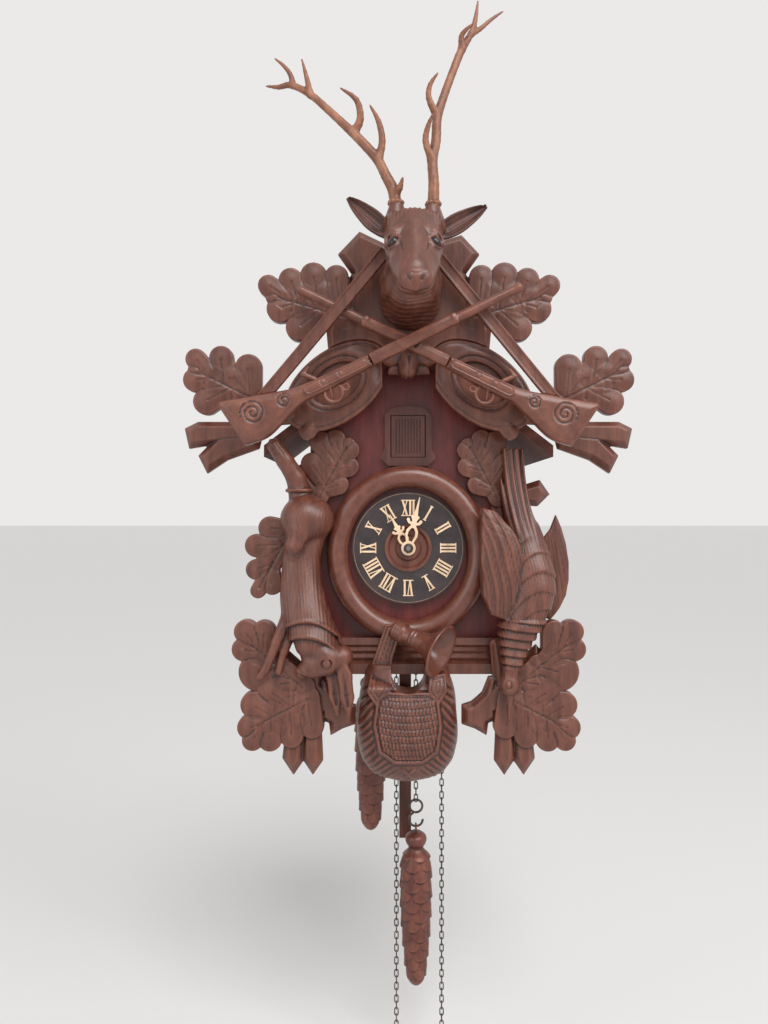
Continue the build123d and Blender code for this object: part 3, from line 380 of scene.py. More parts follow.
UPRIGHT = (140, 140, 22)
ACROSS = (22, 140, 140)
EVEN = (60, 60, 60)
SOFT_GRAIN = (90, 90, 60)
BONE_GRAIN = (160, 160, 40)
CARVED = look("carved_walnut", ((86, 47, 37), (106, 61, 48), (126, 76, 59)),
              0.42, UPRIGHT, 0.35, coat=0.2, relief=True)
PANEL = look("oxblood_board", ((70, 22, 21), (94, 33, 31), (114, 47, 41)), 0.45, UPRIGHT, 0.3, coat=0.2)
BOARDS = look("case_boards", ((66, 34, 28), (92, 50, 40), (118, 68, 52)), 0.5, UPRIGHT, 0.4, coat=0.1)
ROOF = look("roof_planks", ((70, 36, 30), (90, 50, 40), (112, 64, 50)), 0.7, ACROSS, 0.4)
STOCK = look("rifle_wood", ((92, 51, 40), (114, 67, 52), (136, 83, 64)),
             0.38, (70, 140, 70), 0.3, coat=0.25, relief=True)
DOOR = look("door_wood", ((62, 32, 27), (80, 43, 36), (98, 56, 46)), 0.5, UPRIGHT, 0.35, coat=0.1)
HORN = look("horn_wood", ((92, 50, 39), (105, 60, 47), (118, 70, 55)),
            0.34, (150, 150, 150), 0.15, coat=0.35)
EAR = look("ear_wood", ((58, 33, 27), (78, 46, 37), (98, 60, 48)), 0.5, SOFT_GRAIN, 0.3, relief=True)
ANTLER = look("antler_wood", ((104, 62, 46), (136, 88, 66), (170, 118, 90)),
              0.42, (90, 90, 40), 0.4, relief=True)
BLACK = look("dial_black", ((38, 29, 30), (52, 42, 43), (66, 54, 54)), 0.34, EVEN, 0.15, coat=0.3)
BONE = look("bone_white", ((210, 176, 142), (232, 200, 166), (244, 217, 187)), 0.45, BONE_GRAIN, 0.15)
BRASS = look("aged_brass", ((140, 104, 50), (176, 136, 70), (200, 162, 92)),
             0.34, (50, 50, 50), 0.15, metal=1.0)
STEEL = look("grey_steel", ((96, 96, 98), (128, 128, 130), (158, 158, 160)), 0.36, EVEN, 0.15, metal=1.0)
CHAIN = look("dark_chain", ((58, 50, 48), (84, 72, 66), (128, 112, 98)),
             0.42, (220, 220, 220), 0.25, metal=0.85)
IRON = look("cone_iron", ((88, 46, 38), (112, 64, 52), (136, 82, 66)),
            0.4, SOFT_GRAIN, 0.4, metal=0.25, coat=0.15, relief=True)
STICK = look("stick_wood", ((66, 37, 31), (84, 49, 40), (104, 63, 50)), 0.5, UPRIGHT, 0.35)
PAPER = look("bellows_paper", ((196, 186, 164), (214, 204, 182), (228, 220, 200)), 0.8, EVEN, 0.3)
PAINT = look("bird_paint", ((96, 106, 118), (132, 142, 150), (168, 172, 172)), 0.45, SOFT_GRAIN, 0.25)
EYE = look("dark_eye", ((22, 13, 11), (30, 18, 15), (40, 25, 20)), 0.28, (200, 200, 200), 0.05, coat=0.15)

# Carved leaves and boards. Points are (x, z) on the right-hand piece, with a radius where they are lobes.
# A leaf is its root, its tip, the half width of its rib, and its lobes.
EAVE_ROOT = (122, 124)
EAVE_LEAF = (EAVE_ROOT, (186, 156, 8), 9,
             [(188, 168, 7), (190, 148, 8), (180, 128, 9), (165, 170, 8), (141, 162, 9)])
EAVE_STUBS = [[(130, 112), (186, 112), (198, 106), (194, 88), (182, 90), (140, 94)],
              [(128, 104), (168, 100), (186, 82), (178, 66), (160, 78), (132, 88)]]
CROWN_LEAF = ((54, 200), (116, 218, 8), 10,
              [(123, 229, 7), (114, 207, 9), (97, 190, 9), (103, 235, 8), (83, 239, 9), (63, 238, 8)])
SIDE_ROOT = (80, 44)
SIDE_LEAF = (SIDE_ROOT, (54, 92, 7), 8,
             [(66, 99, 7), (51, 89, 7), (51, 73, 7), (60, 57, 7), (79, 96, 8), (87, 77, 8)])
OUTER_LEAF = ((104, 16), (134, -38, 7), 8, [(126, 18, 8), (138, 2, 8), (138, -20, 7), (121, -35, 7)])
BRANCH = [(92, 34), (106, 38), (116, 37), (127, 48), (118, 61), (105, 57), (93, 53)]
SKIRT_UP = ((92, -120), (138, -82, 8), 11,
            [(143, -70, 8), (146, -87, 8), (126, -70, 8), (135, -108, 13), (116, -118, 10)])
SKIRT_HEART = [(80, -112), (112, -84), (130, -108), (128, -126), (132, -140), (121, -162), (100, -160),
               (80, -140)]
SKIRT_ARM = [(46.5, -137), (56, -134), (64, -127), (70, -112), (78, -112), (78, -150), (70, -153),
             (68.5, -164), (58, -158), (46.5, -154)]
SKIRT_BARS = [((84, -128), (62, -140), 15, 9), ((82, -118), (76, -84), 8, 5)]
SKIRT_STUBS = ((84, 86), (101, 98))
SKIRT_DOWN = ((88, -130), (134, -154, 8), 11,
              [(137, -134, 9), (141, -156, 8), (137, -168, 7), (121, -168, 8), (102, -165, 8), (84, -157, 8),
               (122, -122, 9)])


def lobe_board(p, a, b, ra, rb, back, front):
    outline = flat_rod(p[0], p[2], a, b, ra, rb)[0]
    top = back + (front - back) * (0.5 + 0.5 * sqrt(clip(-outline / 8.0, 0, 1)))
    return slab(p, outline, back, top, 1.2, 0.4)


def on_side(p, side):
    return p[0] * side, p[1], p[2]


def eave_leaf(side, p):
    q = on_side(p, side)
    back = ROOF_FRONT - 10
    return together(
        oak_leaf(q, EAVE_LEAF, back, ROOF_FRONT + 1, 1.2),
        lobe_board(q, EAVE_ROOT, (140, 104), 9, 9, back, ROOF_FRONT - 1),
        lobe_board(q, EAVE_ROOT, (106, 124), 9, 8, back, ROOF_FRONT),
        *(stub(q, points, back, ROOF_FRONT + 1) for points in EAVE_STUBS))


def turned(x, z, cx, cz, degrees):
    c, s = math.cos(math.radians(degrees)), math.sin(math.radians(degrees))
    return (x - cx) * c + (z - cz) * s, -(x - cx) * s + (z - cz) * c


def from_to(p, start, end):
    """Length of a line in (x, z), and places along it and across it."""
    run = (end[0] - start[0], end[1] - start[1])
    angle = math.degrees(math.atan2(run[1], run[0]))
    return math.hypot(*run), *turned(p[0], p[2], *start, angle)


def oval(x, z, cx, cz, degrees, wide, tall):
    u, v = turned(x, z, cx, cz, degrees)
    q = hypot(u / wide, v / tall)
    slope = hypot(u / wide**2, v / tall**2) + 1e-4
    return (q - 1) * q / slope


# Ovals as middle (x, z), turn in degrees, half width and half height.
SCROLL_HOLE = (63, 144, -35, 24, 16)
SCROLL_BAND = (63, 142, -37, 52, 31)
SCROLL_START = 23


def gable_scroll(p):
    x, z = abs(p[0]), p[2]
    hole = oval(x, z, *SCROLL_HOLE)
    band = oval(x, z, *SCROLL_BAND)
    foot = flat_rod(x, z, (84, 114), (88, 103), 13, 8)[0]
    arm = flat_rod(x, z, (84, 124), (112, 118), 14, 10)[0]
    outline = smax(together(band, foot, arm), -hole, 0.5)
    outline = within(outline, SCROLL_START - x)
    rise = smooth(0, -9, outline)
    lines = 0.8 * ridge(hole - 4.5, 1.0) + 0.5 * ridge(band + 3.5, 0.9) * (hole > 6)
    hollow = 1.6 * smooth(3, 14, hole) * smooth(-1, -10, band)
    top = ROOF_FRONT + 10 * (0.72 + 0.28 * rise) - lines - hollow
    web = within(hole - 0.6, abs(p[1] - ROOF_FRONT - 1.2) - 0.9)
    return together(slab(p, outline, ROOF_FRONT, top, 0.8, 0.4), web)


CROWN = [(-43, 277), (-62, 257), (-50, 240), (-64, 214), (-72, 190), (-70, 168), (-20, 168), (-20, 152),
         (20, 152), (20, 168), (70, 168), (72, 190), (64, 214), (50, 240), (62, 257), (46, 274), (20, 266),
         (-20, 266)]
PENDANT_ROOT = (0, 170)


def crown(p):
    whole = stub(p, CROWN, ROOF_FRONT, SCROLL_FRONT - 1)
    whole = within(whole, -oval(abs(p[0]), p[2], *SCROLL_BAND))
    for side in (-1, 1):
        leaf = oak_leaf(on_side(p, side), CROWN_LEAF, ROOF_FRONT, SCROLL_FRONT + 1, 2.0)
        whole = together(whole, leaf)
    back = SCROLL_FRONT - 8
    for end in (-16, 16):
        whole = together(whole, lobe_board(p, PENDANT_ROOT, (end, 166), 8, 8, back, PENDANT_FRONT - 1))
    drop = lobe_board(p, PENDANT_ROOT, (-1, 156), 14, 8, back, PENDANT_FRONT)
    drop = drop + 1.0 * ridge(p[0] + 0.5, 0.9) * (p[2] < 166)
    return together(whole, drop)


HORN_OVAL = (0, -5, 0, 63, 69)
HORN_RADIUS = 9.5


def horn_room(p, grow=0.3):
    around = oval(p[0], p[2], *HORN_OVAL)
    return hypot(around, p[1] - LEAF_FRONT) - HORN_RADIUS - grow


def side_leaf(side, p):
    q = on_side(p, side)
    if side < 0:
        extra = oak_leaf(q, OUTER_LEAF, FACE, LEAF_FRONT + 1.5, 1.5)
    else:
        extra = stub(q, BRANCH, FACE, LEAF_FRONT + 4)
    whole = together(
        oak_leaf(q, SIDE_LEAF, FACE, LEAF_FRONT + 1.5, 0.5),
        lobe_board(q, SIDE_ROOT, (96, -20), 8, 10, FACE, LEAF_FRONT),
        lobe_board(q, SIDE_ROOT, (95, 68), 8, 7, FACE, LEAF_FRONT),
        extra)
    return within(whole, -horn_room(p))


def skirt(side, p):
    q = on_side(p, side)
    back, front = SKIRT_BACK, SKIRT_FRONT
    bars = [flat_rod(q[0], q[2], *bar)[0] for bar in SKIRT_BARS]
    mass = together(polygon(q[0], q[2], SKIRT_HEART), polygon(q[0], q[2], SKIRT_ARM), *bars)
    top = back + (front - 3 - back) * (0.55 + 0.45 * smooth(0, -6, mass))
    whole = slab(q, mass, back, top, 0.8, 0.4, 0.85)
    for foot, root in SKIRT_STUBS:
        points = [(foot - 9, -186), (foot, -199), (foot + 10, -184), (root + 8, -140), (root - 9, -140)]
        whole = together(whole, stub(q, points, back, front - 3))
    return together(
        whole,
        oak_leaf(q, SKIRT_UP, back, front, 1.5),
        oak_leaf(q, SKIRT_DOWN, back, front + 1, 1.5))


# Each pair of leaves: node, piece, field, inner and outer x, then the least and greatest (d, z).
LEAF_PAIRS = (
    ("eave_leaf_", "leaf_eave_", eave_leaf, (92, 202), (126, 60), (146, 182)),
    ("side_leaf_", "leaf_side_", side_leaf, (38, 150), (117, -48), (134, 108)),
    ("skirt_", "leaf_skirt_", skirt, (44, 158), (133, -202), (154, -58)),
)
for name, side in (("left", -1), ("right", 1)):
    for node, label, field, reach, low, high in LEAF_PAIRS:
        least, most = sorted((side * reach[0], side * reach[1]))
        carve(label + name, partial(field, side), (least, *low), (most, *high), [node + name])
carve("scrolls_gable", gable_scroll, (-126, 137, 92), (126, 150, 190), ["gable_scrolls"])
carve("board_crown", crown, (-130, 137, 144), (130, 162, 281), ["crown_board"])

# Crossed rifles, drawn along the barrel from the butt.
RIFLE_TILT = 26.0
BUTT_X = 151.0
BUTT_Z = 101.0
RIFLES = ((1, FRONT_RIFLE), (-1, BACK_RIFLE))
STOCK_TOP = [(-4, 26), (0, 25), (20, 19), (42, 13), (66, 7), (84, 6), (132, 5.5)]
STOCK_LOW = [(-4, -16), (6, -18), (26, -20), (48, -13), (66, -7), (86, -7), (132, -5)]
STOCK_END = 132
FORE_END = 212
BARREL_START = 205
BARREL_END = 272
BARREL_MIDDLE = 4.5
LOCK_MIDDLE = 5.7


def both_rifles(part, p):
    """One part on both rifles, drawn by its place u along the barrel and v across it."""
    return together(*(part(p, back, *turned(p[0] * side, p[2], -BUTT_X, BUTT_Z, RIFLE_TILT))
                      for side, back in RIFLES))


def spiral(u, v, cu, cv, pitch, reach, hand=1):
    far = hypot(u - cu, v - cv)
    turn = arctan2((v - cv) * hand, u - cu) / (2 * math.pi)
    off = (far / pitch - turn) - np.round(far / pitch - turn)
    return ridge(off * pitch, 0.8) * (far < reach) * (far > 1.2)


def stock(p, back, u, v):
    top, low = curve(STOCK_TOP, u), curve(STOCK_LOW, u)
    ends = within(u - STOCK_END, -u - (v - 25) * 0.14)
    outline = within(within(v - top, low - v) * 0.93, ends)
    groove = spiral(u, v, 24, 3, 4.4, 10.5) + spiral(u, v, 52, 1, 3.4, 6.0, -1)
    groove = groove + 0.8 * ridge(abs(v) - 1.5, 0.6) * (u > 74)
    rise = sqrt(clip(-outline / 6.0, 0, 1))
    front = back + 10 * (0.62 + 0.38 * rise) - 1.1 * clip(groove, 0, 1)
    return slab(p, outline, back, front, 1.5, 0.8)


def barrel(p, back, u, v):
    across, deep = abs(v - 0.4), abs(p[1] - back - BARREL_MIDDLE)
    far = hypot(across, deep)
    facets = within(far, (across + deep) * 0.765)
    radius = 4.1 - 0.008 * (u - FORE_END) + 0.5 * ridge(u - 269, 2.5)
    pipe = within(facets - radius, BARREL_START - u, u - BARREL_END)
    bore = within(far - 1.9, 264 - u)
    pipe = smax(pipe, -bore, 0.4)
    share = (u - STOCK_END) / (FORE_END - STOCK_END)
    fore = within(across - 5.6 + 0.8 * share, deep - BARREL_MIDDLE)
    fore = smax(fore, (across + deep) - 8.2 + 0.8 * share, 1.2)
    bands = ridge(u - 209, 1.6) + ridge(u - 160, 1.6)
    fore = fore - 0.5 * bands + 0.5 * ridge(v - 2.8, 0.5)
    return together(pipe, within(fore, STOCK_END - u, u - FORE_END))


def lock(p, back, u, v):
    d = p[1] - back
    q = (u, d, v)
    plate = flat_rod(u, v, (75, 0), (125, 0), 4.6, 4.2)[0]
    rings = ridge(hypot(u - 88, v) - 2.4, 0.6) + ridge(hypot(u - 104, v) - 2.2, 0.6)
    rings = clip(rings + ridge(plate + 1.5, 0.5), 0, 1)
    body = slab(q, plate, 9.2, 11.9 - 0.8 * rings, 0.6, 0.3)
    guard = hypot(hypot(u - 92, v + 11) - 7.5, d - LOCK_MIDDLE) - 1.5
    guard = within(guard, v + 6.8)
    curl = hypot(hypot(u - 103, v + 11) - 2.6, d - LOCK_MIDDLE) - 1.2
    trigger = rod(q, (91, -6, LOCK_MIDDLE), (89, -14, LOCK_MIDDLE), 1.4, 0.8)
    cock = rod(q, (83, 5.5, LOCK_MIDDLE), (76, 14, LOCK_MIDDLE), 2.4, 2.0)
    cock = smin(cock, rod(q, (76, 14, LOCK_MIDDLE), (82, 17.2, LOCK_MIDDLE), 2.0, 1.2), 1.0)
    return together(body, guard, curl, trigger, cock)


SLINGS = ((-1, FRONT_RIFLE, (-20, 250.7)), (1, BACK_RIFLE, (23, 250.3)))
SLING_HALF = 5.25


def slings(p):
    parts = []
    for side, back, top in SLINGS:
        length, u, v = from_to(p, top, (side * 126, 124.5))
        edge = ridge(abs(v) - 4.3, 0.8)
        outline = within(abs(v) - SLING_HALF, abs(u - length / 2) - length / 2)
        front = back + 3.4 + 1.1 * edge
        parts.append(slab(p, outline, back, front, 0.5, 0.4))
    return within(together(*parts), 0.2 - both_rifles(stock, p))


for name, part, node, low, high, step in (
        ("wood_rifles", stock, "rifle_stocks", (-158, 157, 76), (158, 178, 182), FINE),
        ("tubes_rifles", barrel, "rifle_barrels", (-108, 157, 148), (108, 178, 228), FINE),
        ("fittings_rifles", lock, "rifle_locks", (-98, 156, 112), (98, 180, 172), FINE * 0.85)):
    carve(name, partial(both_rifles, part), low, high, [node], STOCK, step)
carve("straps_rifles", slings, (-132, 157, 116), (132, 173, 260), ["rifle_slings"])

# Stag: the head is drawn along its own line from the crown to the nose.
HEAD_TOP = (276.0, 180.0)
HEAD_RUN = (-0.783, 0.622)
HEAD_END = 101.0
HEAD_WIDE = [(-12, 16), (-2, 20), (8, 22), (22, 23), (36, 23.5), (50, 22.5), (62, 19), (74, 16.2),
             (84, 14.8), (92, 13), (97, 9), (HEAD_END, 1)]
HEAD_DEEP = [(-12, 10), (-2, 14), (10, 17), (30, 17.5), (50, 16), (70, 13.5), (86, 12), (94, 9.5),
             (HEAD_END, 1)]
HEAD_START = -12
HEAD_X = 2.0
HEAD_POWER = 2.3
EYE_AT = (15.8, 54.0, 9.6)
EYE_RADIUS = 4.6


def head_lines(p):
    z, d = p[2] - HEAD_TOP[0], p[1] - HEAD_TOP[1]
    return z * HEAD_RUN[0] + d * HEAD_RUN[1], z * HEAD_RUN[1] - d * HEAD_RUN[0]


def rounded(x, y, wide, deep, power):
    """Distance to a softly squared oval with these half sizes."""
    far = (abs(x / wide) ** power + abs(y / deep) ** power) ** (1 / power)
    return (far - 1) * np.minimum(wide, deep) * 0.9


def stag(p):
    u, v = head_lines(p)
    x = p[0] - HEAD_X
    head = rounded(x, v, curve(HEAD_WIDE, u), curve(HEAD_DEEP, u), HEAD_POWER)
    head = within(head, HEAD_START - u, u - HEAD_END)
    head = smin(head, limb((x, v, u), [(0, 12, 10, 11), (0, 48, 11.5, 7.5), (0, 80, 7.5, 5.0)]), 5)
    for side in (-1, 1):
        q = (x * side, v, u)
        brow = limb(q, [(10, 42, 13.6, 3.2), (15, 45, 12.8, 4.0), (20, 51, 8.6, 3.2)])
        socket = ball(q, 17.4, 54, 11.6, 5, 6, 5)
        lid = limb(q, [(11.5, 52, 13.6, 1.3), (15.8, 48.8, 13, 1.9), (20.8, 53, 7.6, 1.4)])
        low_lid = limb(q, [(11.5, 53, 13.2, 1.0), (14.8, 59.4, 11, 1.2), (19.4, 57.4, 7.2, 1.0)])
        nostril = limb(q, [(2.8, 99.4, 4.6, 1.0), (4.8, 96.6, 7.2, 1.7), (6.6, 93.4, 8.8, 1.0)])
        cheek = limb(q, [(12, 66, 0, 7), (9, 80, -2, 6)])
        tear = limb(q, [(11, 58.5, 13, 0.8), (9.4, 67, 12.2, 0.5)])
        head = smax(smin(head, brow, 4), -socket, 2)
        head = smin(smin(head, lid, 1.0), low_lid, 0.8)
        head = smin(smax(head, -nostril, 0.8), cheek, 4)
        head = smax(head, -tear, 0.8)
    mouth = ridge(v + 2.0 - 0.03 * abs(x), 0.8) * smooth(80, 87, u)
    pad = ridge(u - 93.5 + 0.3 * abs(x), 0.8) * (v > 2) * smooth(10, 8, abs(x))
    hair = 0.42 * sin(x * 2.2 + 0.6 * sin(u * 0.3)) * smooth(40, 8, u) * (v > 2)
    head = head + 1.1 * mouth + 0.45 * pad + hair
    head = smax(head, p[2] - 272 + 0.6 * sin(p[0] * 1.7), 1.2)
    for px, pz in ((-11.5, 266), (18, 265)):
        head = smin(head, limb(p, [(px, pz, 187, 11.5), (px, pz + 15, 188, 6.0)], 2), 2.5)
    neck = limb(p, [(1, 216, 146, 27), (1, 225, 166, 25), (2, 240, 184, 21), (2, 252, 196, 15)], 4)
    swirl = arctan2(p[0] - 1.5, p[2] - 262)
    arcs = hypot(p[0] - 2, (p[2] - 228) * 1.1)
    curls = sin(arcs * 2.5 + 1.4 * sin(swirl * 13)) * smooth(216, 206, p[2])
    locks_of_hair = sin(swirl * 34 + 0.08 * p[1]) * smooth(258, 238, p[2]) * smooth(204, 212, p[2])
    neck = neck + 0.4 * locks_of_hair + 0.24 * curls
    shelf = within(abs(p[0]) - 26, p[2] - 182, p[1] - PENDANT_FRONT - 0.3)
    return within(smin(head, neck, 5), SCROLL_FRONT - p[1], -shelf)


def stag_eyes(p):
    u, v = head_lines(p)
    return ball((abs(p[0] - HEAD_X), v, u), *EYE_AT, EYE_RADIUS)


EARS = (((-18, 258), (-52, 290)), ((22, 257), (63, 283)))
EAR_WIDE = [(-0.05, 4.5), (0.12, 7), (0.35, 8.5), (0.6, 7.2), (0.85, 4.2), (1.0, 1.2)]
EAR_DEPTH = SCROLL_FRONT + 41


def ears(p):
    parts = []
    for base, tip in EARS:
        length, u, v = from_to(p, base, tip)
        share = u / length
        wide = curve(EAR_WIDE, share)
        w = p[1] - (EAR_DEPTH - 6 * share)
        outline = within((abs(v) - wide) * 0.9, -u - 2, u - length)
        bowl = 1 - clip(abs(v) / (wide * 0.8 + 0.1), 0, 1) ** 2
        cup = 2.6 - 4.2 * bowl * smooth(0.02, 0.2, share)
        cup = cup + 0.7 * ridge(v, 0.8) + 0.5 * ridge(abs(v) - wide * 0.45, 0.6)
        back = 3.4 * sqrt(clip(1 - (v / (wide + 0.2)) ** 2, 0, 1))
        parts.append(smax(smax(outline, w - cup, 1.0), -w - back, 0.8))
    return together(*parts)


# Antlers as stations of (x, z, d, radius).
BEAM_LEFT = [(-11.9, 272, 188, 5.4), (-11.9, 281, 188, 5.0), (-14, 294, 188, 4.6), (-20, 306, 187, 4.2),
             (-27, 320, 186, 4.0), (-40, 336, 183, 3.8), (-52, 349, 180, 3.5), (-68, 366, 175, 3.1),
             (-84, 382, 170, 2.9), (-100, 392, 165, 2.5), (-111, 393, 160, 1.9), (-122, 396, 156, 0.8)]
TINES_LEFT = [[(-13, 292, 189, 3.2), (-9, 294, 192, 2.6), (-6.5, 301, 195, 1.0)],
              [(-26, 320, 186, 3.4), (-23, 334, 188, 2.8), (-26, 349, 190, 2.2), (-33, 361, 192, 0.8)],
              [(-46, 345, 181, 3.6), (-41, 354, 184, 3.0), (-44, 368, 187, 2.3), (-57, 377, 188, 0.8)],
              [(-83, 381, 170, 2.8), (-86, 394, 172, 2.0), (-90, 409, 173, 0.8)],
              [(-98, 392, 165, 2.6), (-101, 402, 164, 2.0), (-107, 410, 163, 1.5), (-114, 416, 162, 0.7)]]
BEAM_RIGHT = [(18.5, 271, 188, 5.4), (18.5, 280, 188, 5.0), (19, 298, 188, 4.4), (18, 319, 186, 4.2),
              (21, 336, 184, 4.0), (22, 355, 182, 3.8), (27, 373, 179, 3.5), (35, 396, 176, 3.3),
              (43, 417, 173, 3.3), (51, 432, 170, 2.6), (55, 445, 168, 2.0), (57.5, 462, 166, 0.8)]
TINES_RIGHT = [[(17, 320, 187, 3.2), (12, 332, 192, 2.6), (14, 343, 195, 2.0), (18, 352, 197, 0.8)],
               [(21, 359, 182, 3.2), (15, 370, 186, 2.4), (16, 380, 188, 1.9), (22, 388, 190, 0.8)],
               [(43.5, 418, 173, 2.8), (42.5, 426, 176, 2.2), (46.5, 431, 178, 1.6), (52.5, 435.5, 179, 0.7)],
               [(51.5, 432, 170, 2.4), (59, 438, 167, 1.9), (69, 448, 164, 1.5), (79, 456, 162, 0.7)]]


def bent(points, parts=3):
    """Stations along a smooth bend through the given points."""
    ends = np.array([points[0], *points, points[-1]], float)
    stations = []
    for a, b, c, e in zip(ends, ends[1:], ends[2:], ends[3:]):
        for k in range(parts):
            t = k / parts
            bend = (2 * a - 5 * b + 4 * c - e) * t**2 + (3 * b - a - 3 * c + e) * t**3
            stations.append((0.5 * (2 * b + (c - a) * t + bend)).tolist())
    return stations + [points[-1]]


BURR_RADIUS = 4.8


def antler(beam, tines, p):
    root = beam[1]
    whole = limb(p, bent(beam), 0.5)
    for tine in tines:
        whole = smin(whole, limb(p, bent(tine), 0.5), 2.0)
    x, d, z = p[0] - root[0], p[1] - root[2], p[2] - root[1]
    around = arctan2(d, x)
    bark = 0.12 * sin(around * 7 + z * 0.12) * smooth(90, 10, z)
    beads = 1.9 + 0.45 * sin(around * 10)
    burr = hypot(hypot(x, d) - BURR_RADIUS, z - 2.5) - beads
    return smin(whole + bark, burr, 0.8)


carve("head_stag", stag, (-36, 147, 186), (40, 252, 292), ["stag_head"])
carve("eyes_stag", stag_eyes, (-24, 206, 226), (28, 234, 254), [], EYE, step=FINE * 0.6)
carve("pair_ears", ears, (-57, 176, 242), (68, 196, 298), ["stag_ears"], EAR)
for name, beam, tines, low, high in (
        ("left", BEAM_LEFT, TINES_LEFT, (-125, 152, 268), (-1, 198, 419)),
        ("right", BEAM_RIGHT, TINES_RIGHT, (8, 158, 267), (82, 200, 465))):
    carve("beam_" + name, partial(antler, beam, tines), low, high, ["antler_" + name], ANTLER)


# Hare and game bird, hung head down.
TRUNK_POWER = 2.2
CASE_FOOT = -62


def trunk(p, line, wide, deep, low, high):
    """A body that hangs along z: its middle and half sizes are smooth lines over z."""
    z = clip(p[2], low, high)
    x, d = p[0] - curve(line, z), p[1] - curve(line, z, 2)
    body = rounded(x, d, curve(wide, z), curve(deep, z), TRUNK_POWER)
    return within(body, low - p[2], p[2] - high)


def on_boards(p, figure):
    seat = np.where(p[2] > CASE_FOOT, LEAF_FRONT, SKIRT_FRONT)
    return within(figure, seat - p[1], -horn_room(p))


# Middle lines as (z, x, d) points, and half sizes as (z, size) points.
HARE_LINE = [(72, -103, 131), (52, -96, 133), (34, -91, 134), (16, -90, 136), (-10, -94, 139),
             (-36, -93, 142), (-60, -88, 147), (-80, -80, 150), (-96, -75, 152)]
HARE_WIDE = [(72, 4), (60, 6.5), (46, 11), (34, 16), (16, 18), (-6, 16.5), (-22, 17), (-40, 19.5),
             (-60, 21.5), (-80, 22), (-96, 15)]
HARE_DEEP = [(72, 4), (52, 9), (34, 13), (16, 14), (-10, 14), (-30, 16), (-60, 19), (-80, 17), (-96, 10)]


def hare(p):
    x, d, z = p
    body = trunk(p, HARE_LINE, HARE_WIDE, HARE_DEEP, -96, 72)
    strands = 0.14 * sin((x + 0.10 * z) * 2.3 + 0.7 * sin(z * 0.13)) * smooth(30, -20, z)
    rolls = 0.0
    for edge in (-61, -74):
        below = edge - 0.018 * (x + 88) ** 2 - z
        rolls = rolls + 1.7 * smooth(0, 1.6, below) * smooth(12, 3, below) - 0.7 * ridge(below + 1.2, 1.6)
    body = body + strands + rolls
    thigh = ball(p, -89, 26, 138, 23.5, 21, 21)
    knee = limb(p, [(-94, 14, 147, 11), (-98, 3, 149, 8), (-99, -6, 148, 5)], 3)
    thigh = smin(thigh, knee, 6) + 0.1 * sin((x * 0.9 - z * 0.2) * 2.6)
    body = smin(body, thigh, 2.2)
    leg = limb(p, [(-96, 46, 134, 9.5), (-99, 62, 137, 8.5), (-108, 77, 142.5, 7.5),
                   (-117, 90, 146.5, 6.2)], 2)
    toes = ridge(abs((x + 117) * 0.82 + (z - 90) * 0.57) - 2.2, 0.7) * smooth(76, 84, z)
    body = smin(body, leg + 0.7 * toes, 1.5)
    tie = hypot(hypot((x + 96.5) * 0.9, d - 135) - 9.2, z - 51) - 1.7
    body = together(body, tie)
    head = limb(p, [(-58, -92, 152, 10), (-70, -94, 154, 13), (-82, -99, 154, 10.5), (-92, -105, 153, 6)], 4)
    head = smin(head, ball(p, -72, -88, 160, 8, 6, 6), 4)
    head = smax(head, -(hypot(hypot(x + 70, z + 96.5) - 4.2, d - 166.5) - 0.9), 0.6)
    head = smin(head, ball(p, -70, -96.5, 165.5, 2.9), 0.4)
    head = head + 0.9 * ridge(z + 108 + 0.35 * (x + 90), 0.8) * (x < -84)
    for k in range(4):
        whisker = z + 97 + 2.1 * k + (0.25 + 0.12 * k) * (x + 84)
        head = head + 0.55 * ridge(whisker, 0.55) * smooth(-78, -84, x)
    body = smin(body, head, 3)
    for tip, out in ((-53, 158), (-63, 152)):
        ear = limb(p, [(-60, -90, out - 3, 5), (tip - 2, -108, out, 6.2), (tip, -126, out, 5.8),
                       (tip + 1, -141, out - 1, 2.2)], 2)
        scoop = limb(p, [(tip - 3, -104, out + 5.5, 2.2), (tip - 0.5, -124, out + 5.5, 3.2),
                         (tip + 1, -134, out + 3, 1.2)], 1)
        body = smin(body, smax(smax(ear, d - out - 3.4, 1.0), -scoop, 0.6), 1.2)
    paw = limb(p, [(-104, -58, 150, 6.5), (-114, -80, 152, 4.6), (-124, -104, 151, 3.6),
                   (-128.5, -110, 152, 3.0)], 1.5)
    body = smin(body, paw, 2)
    second = limb(p, [(-100, -66, 148, 5.5), (-108, -88, 149, 4), (-113, -106, 149, 3)], 1.5)
    body = smin(body, second, 1.2)
    return on_boards(p, body)


BIRD_LINE = [(88, 92, 130), (50, 94, 134), (18, 100, 138), (-14, 106, 142), (-40, 106, 145),
             (-62, 98, 148), (-80, 92, 150), (-98, 88, 152), (-112, 86, 152)]
BIRD_WIDE = [(88, 9.5), (50, 11), (30, 12.5), (18, 15), (-14, 20), (-40, 21), (-62, 19), (-80, 13.5),
             (-98, 8), (-112, 6.5)]
BIRD_DEEP = [(88, 4), (50, 7.5), (18, 14), (-14, 20), (-40, 20), (-62, 17), (-80, 12), (-98, 8.5), (-112, 7)]
FEATHER = 7.0
WING_BACK = 140.5
WING = [(62, 36), (74, 33), (88, 17), (97, 2), (102, -14), (105, -35), (100, -57), (84, -61), (70, -56),
        (63, -40), (61, -10)]
WING_EDGE = [(-60, 99), (-57, 100), (-35, 105), (-14, 102), (2, 97), (17, 88), (33, 74), (37, 70)]
FAR_WING = [(131, 30), (136, 18), (140, 4), (142.5, -12), (142.5, -28), (140, -42), (134, -54), (126, -64),
            (113, -58), (110, -20), (110, 2), (119, 8), (126, 17)]


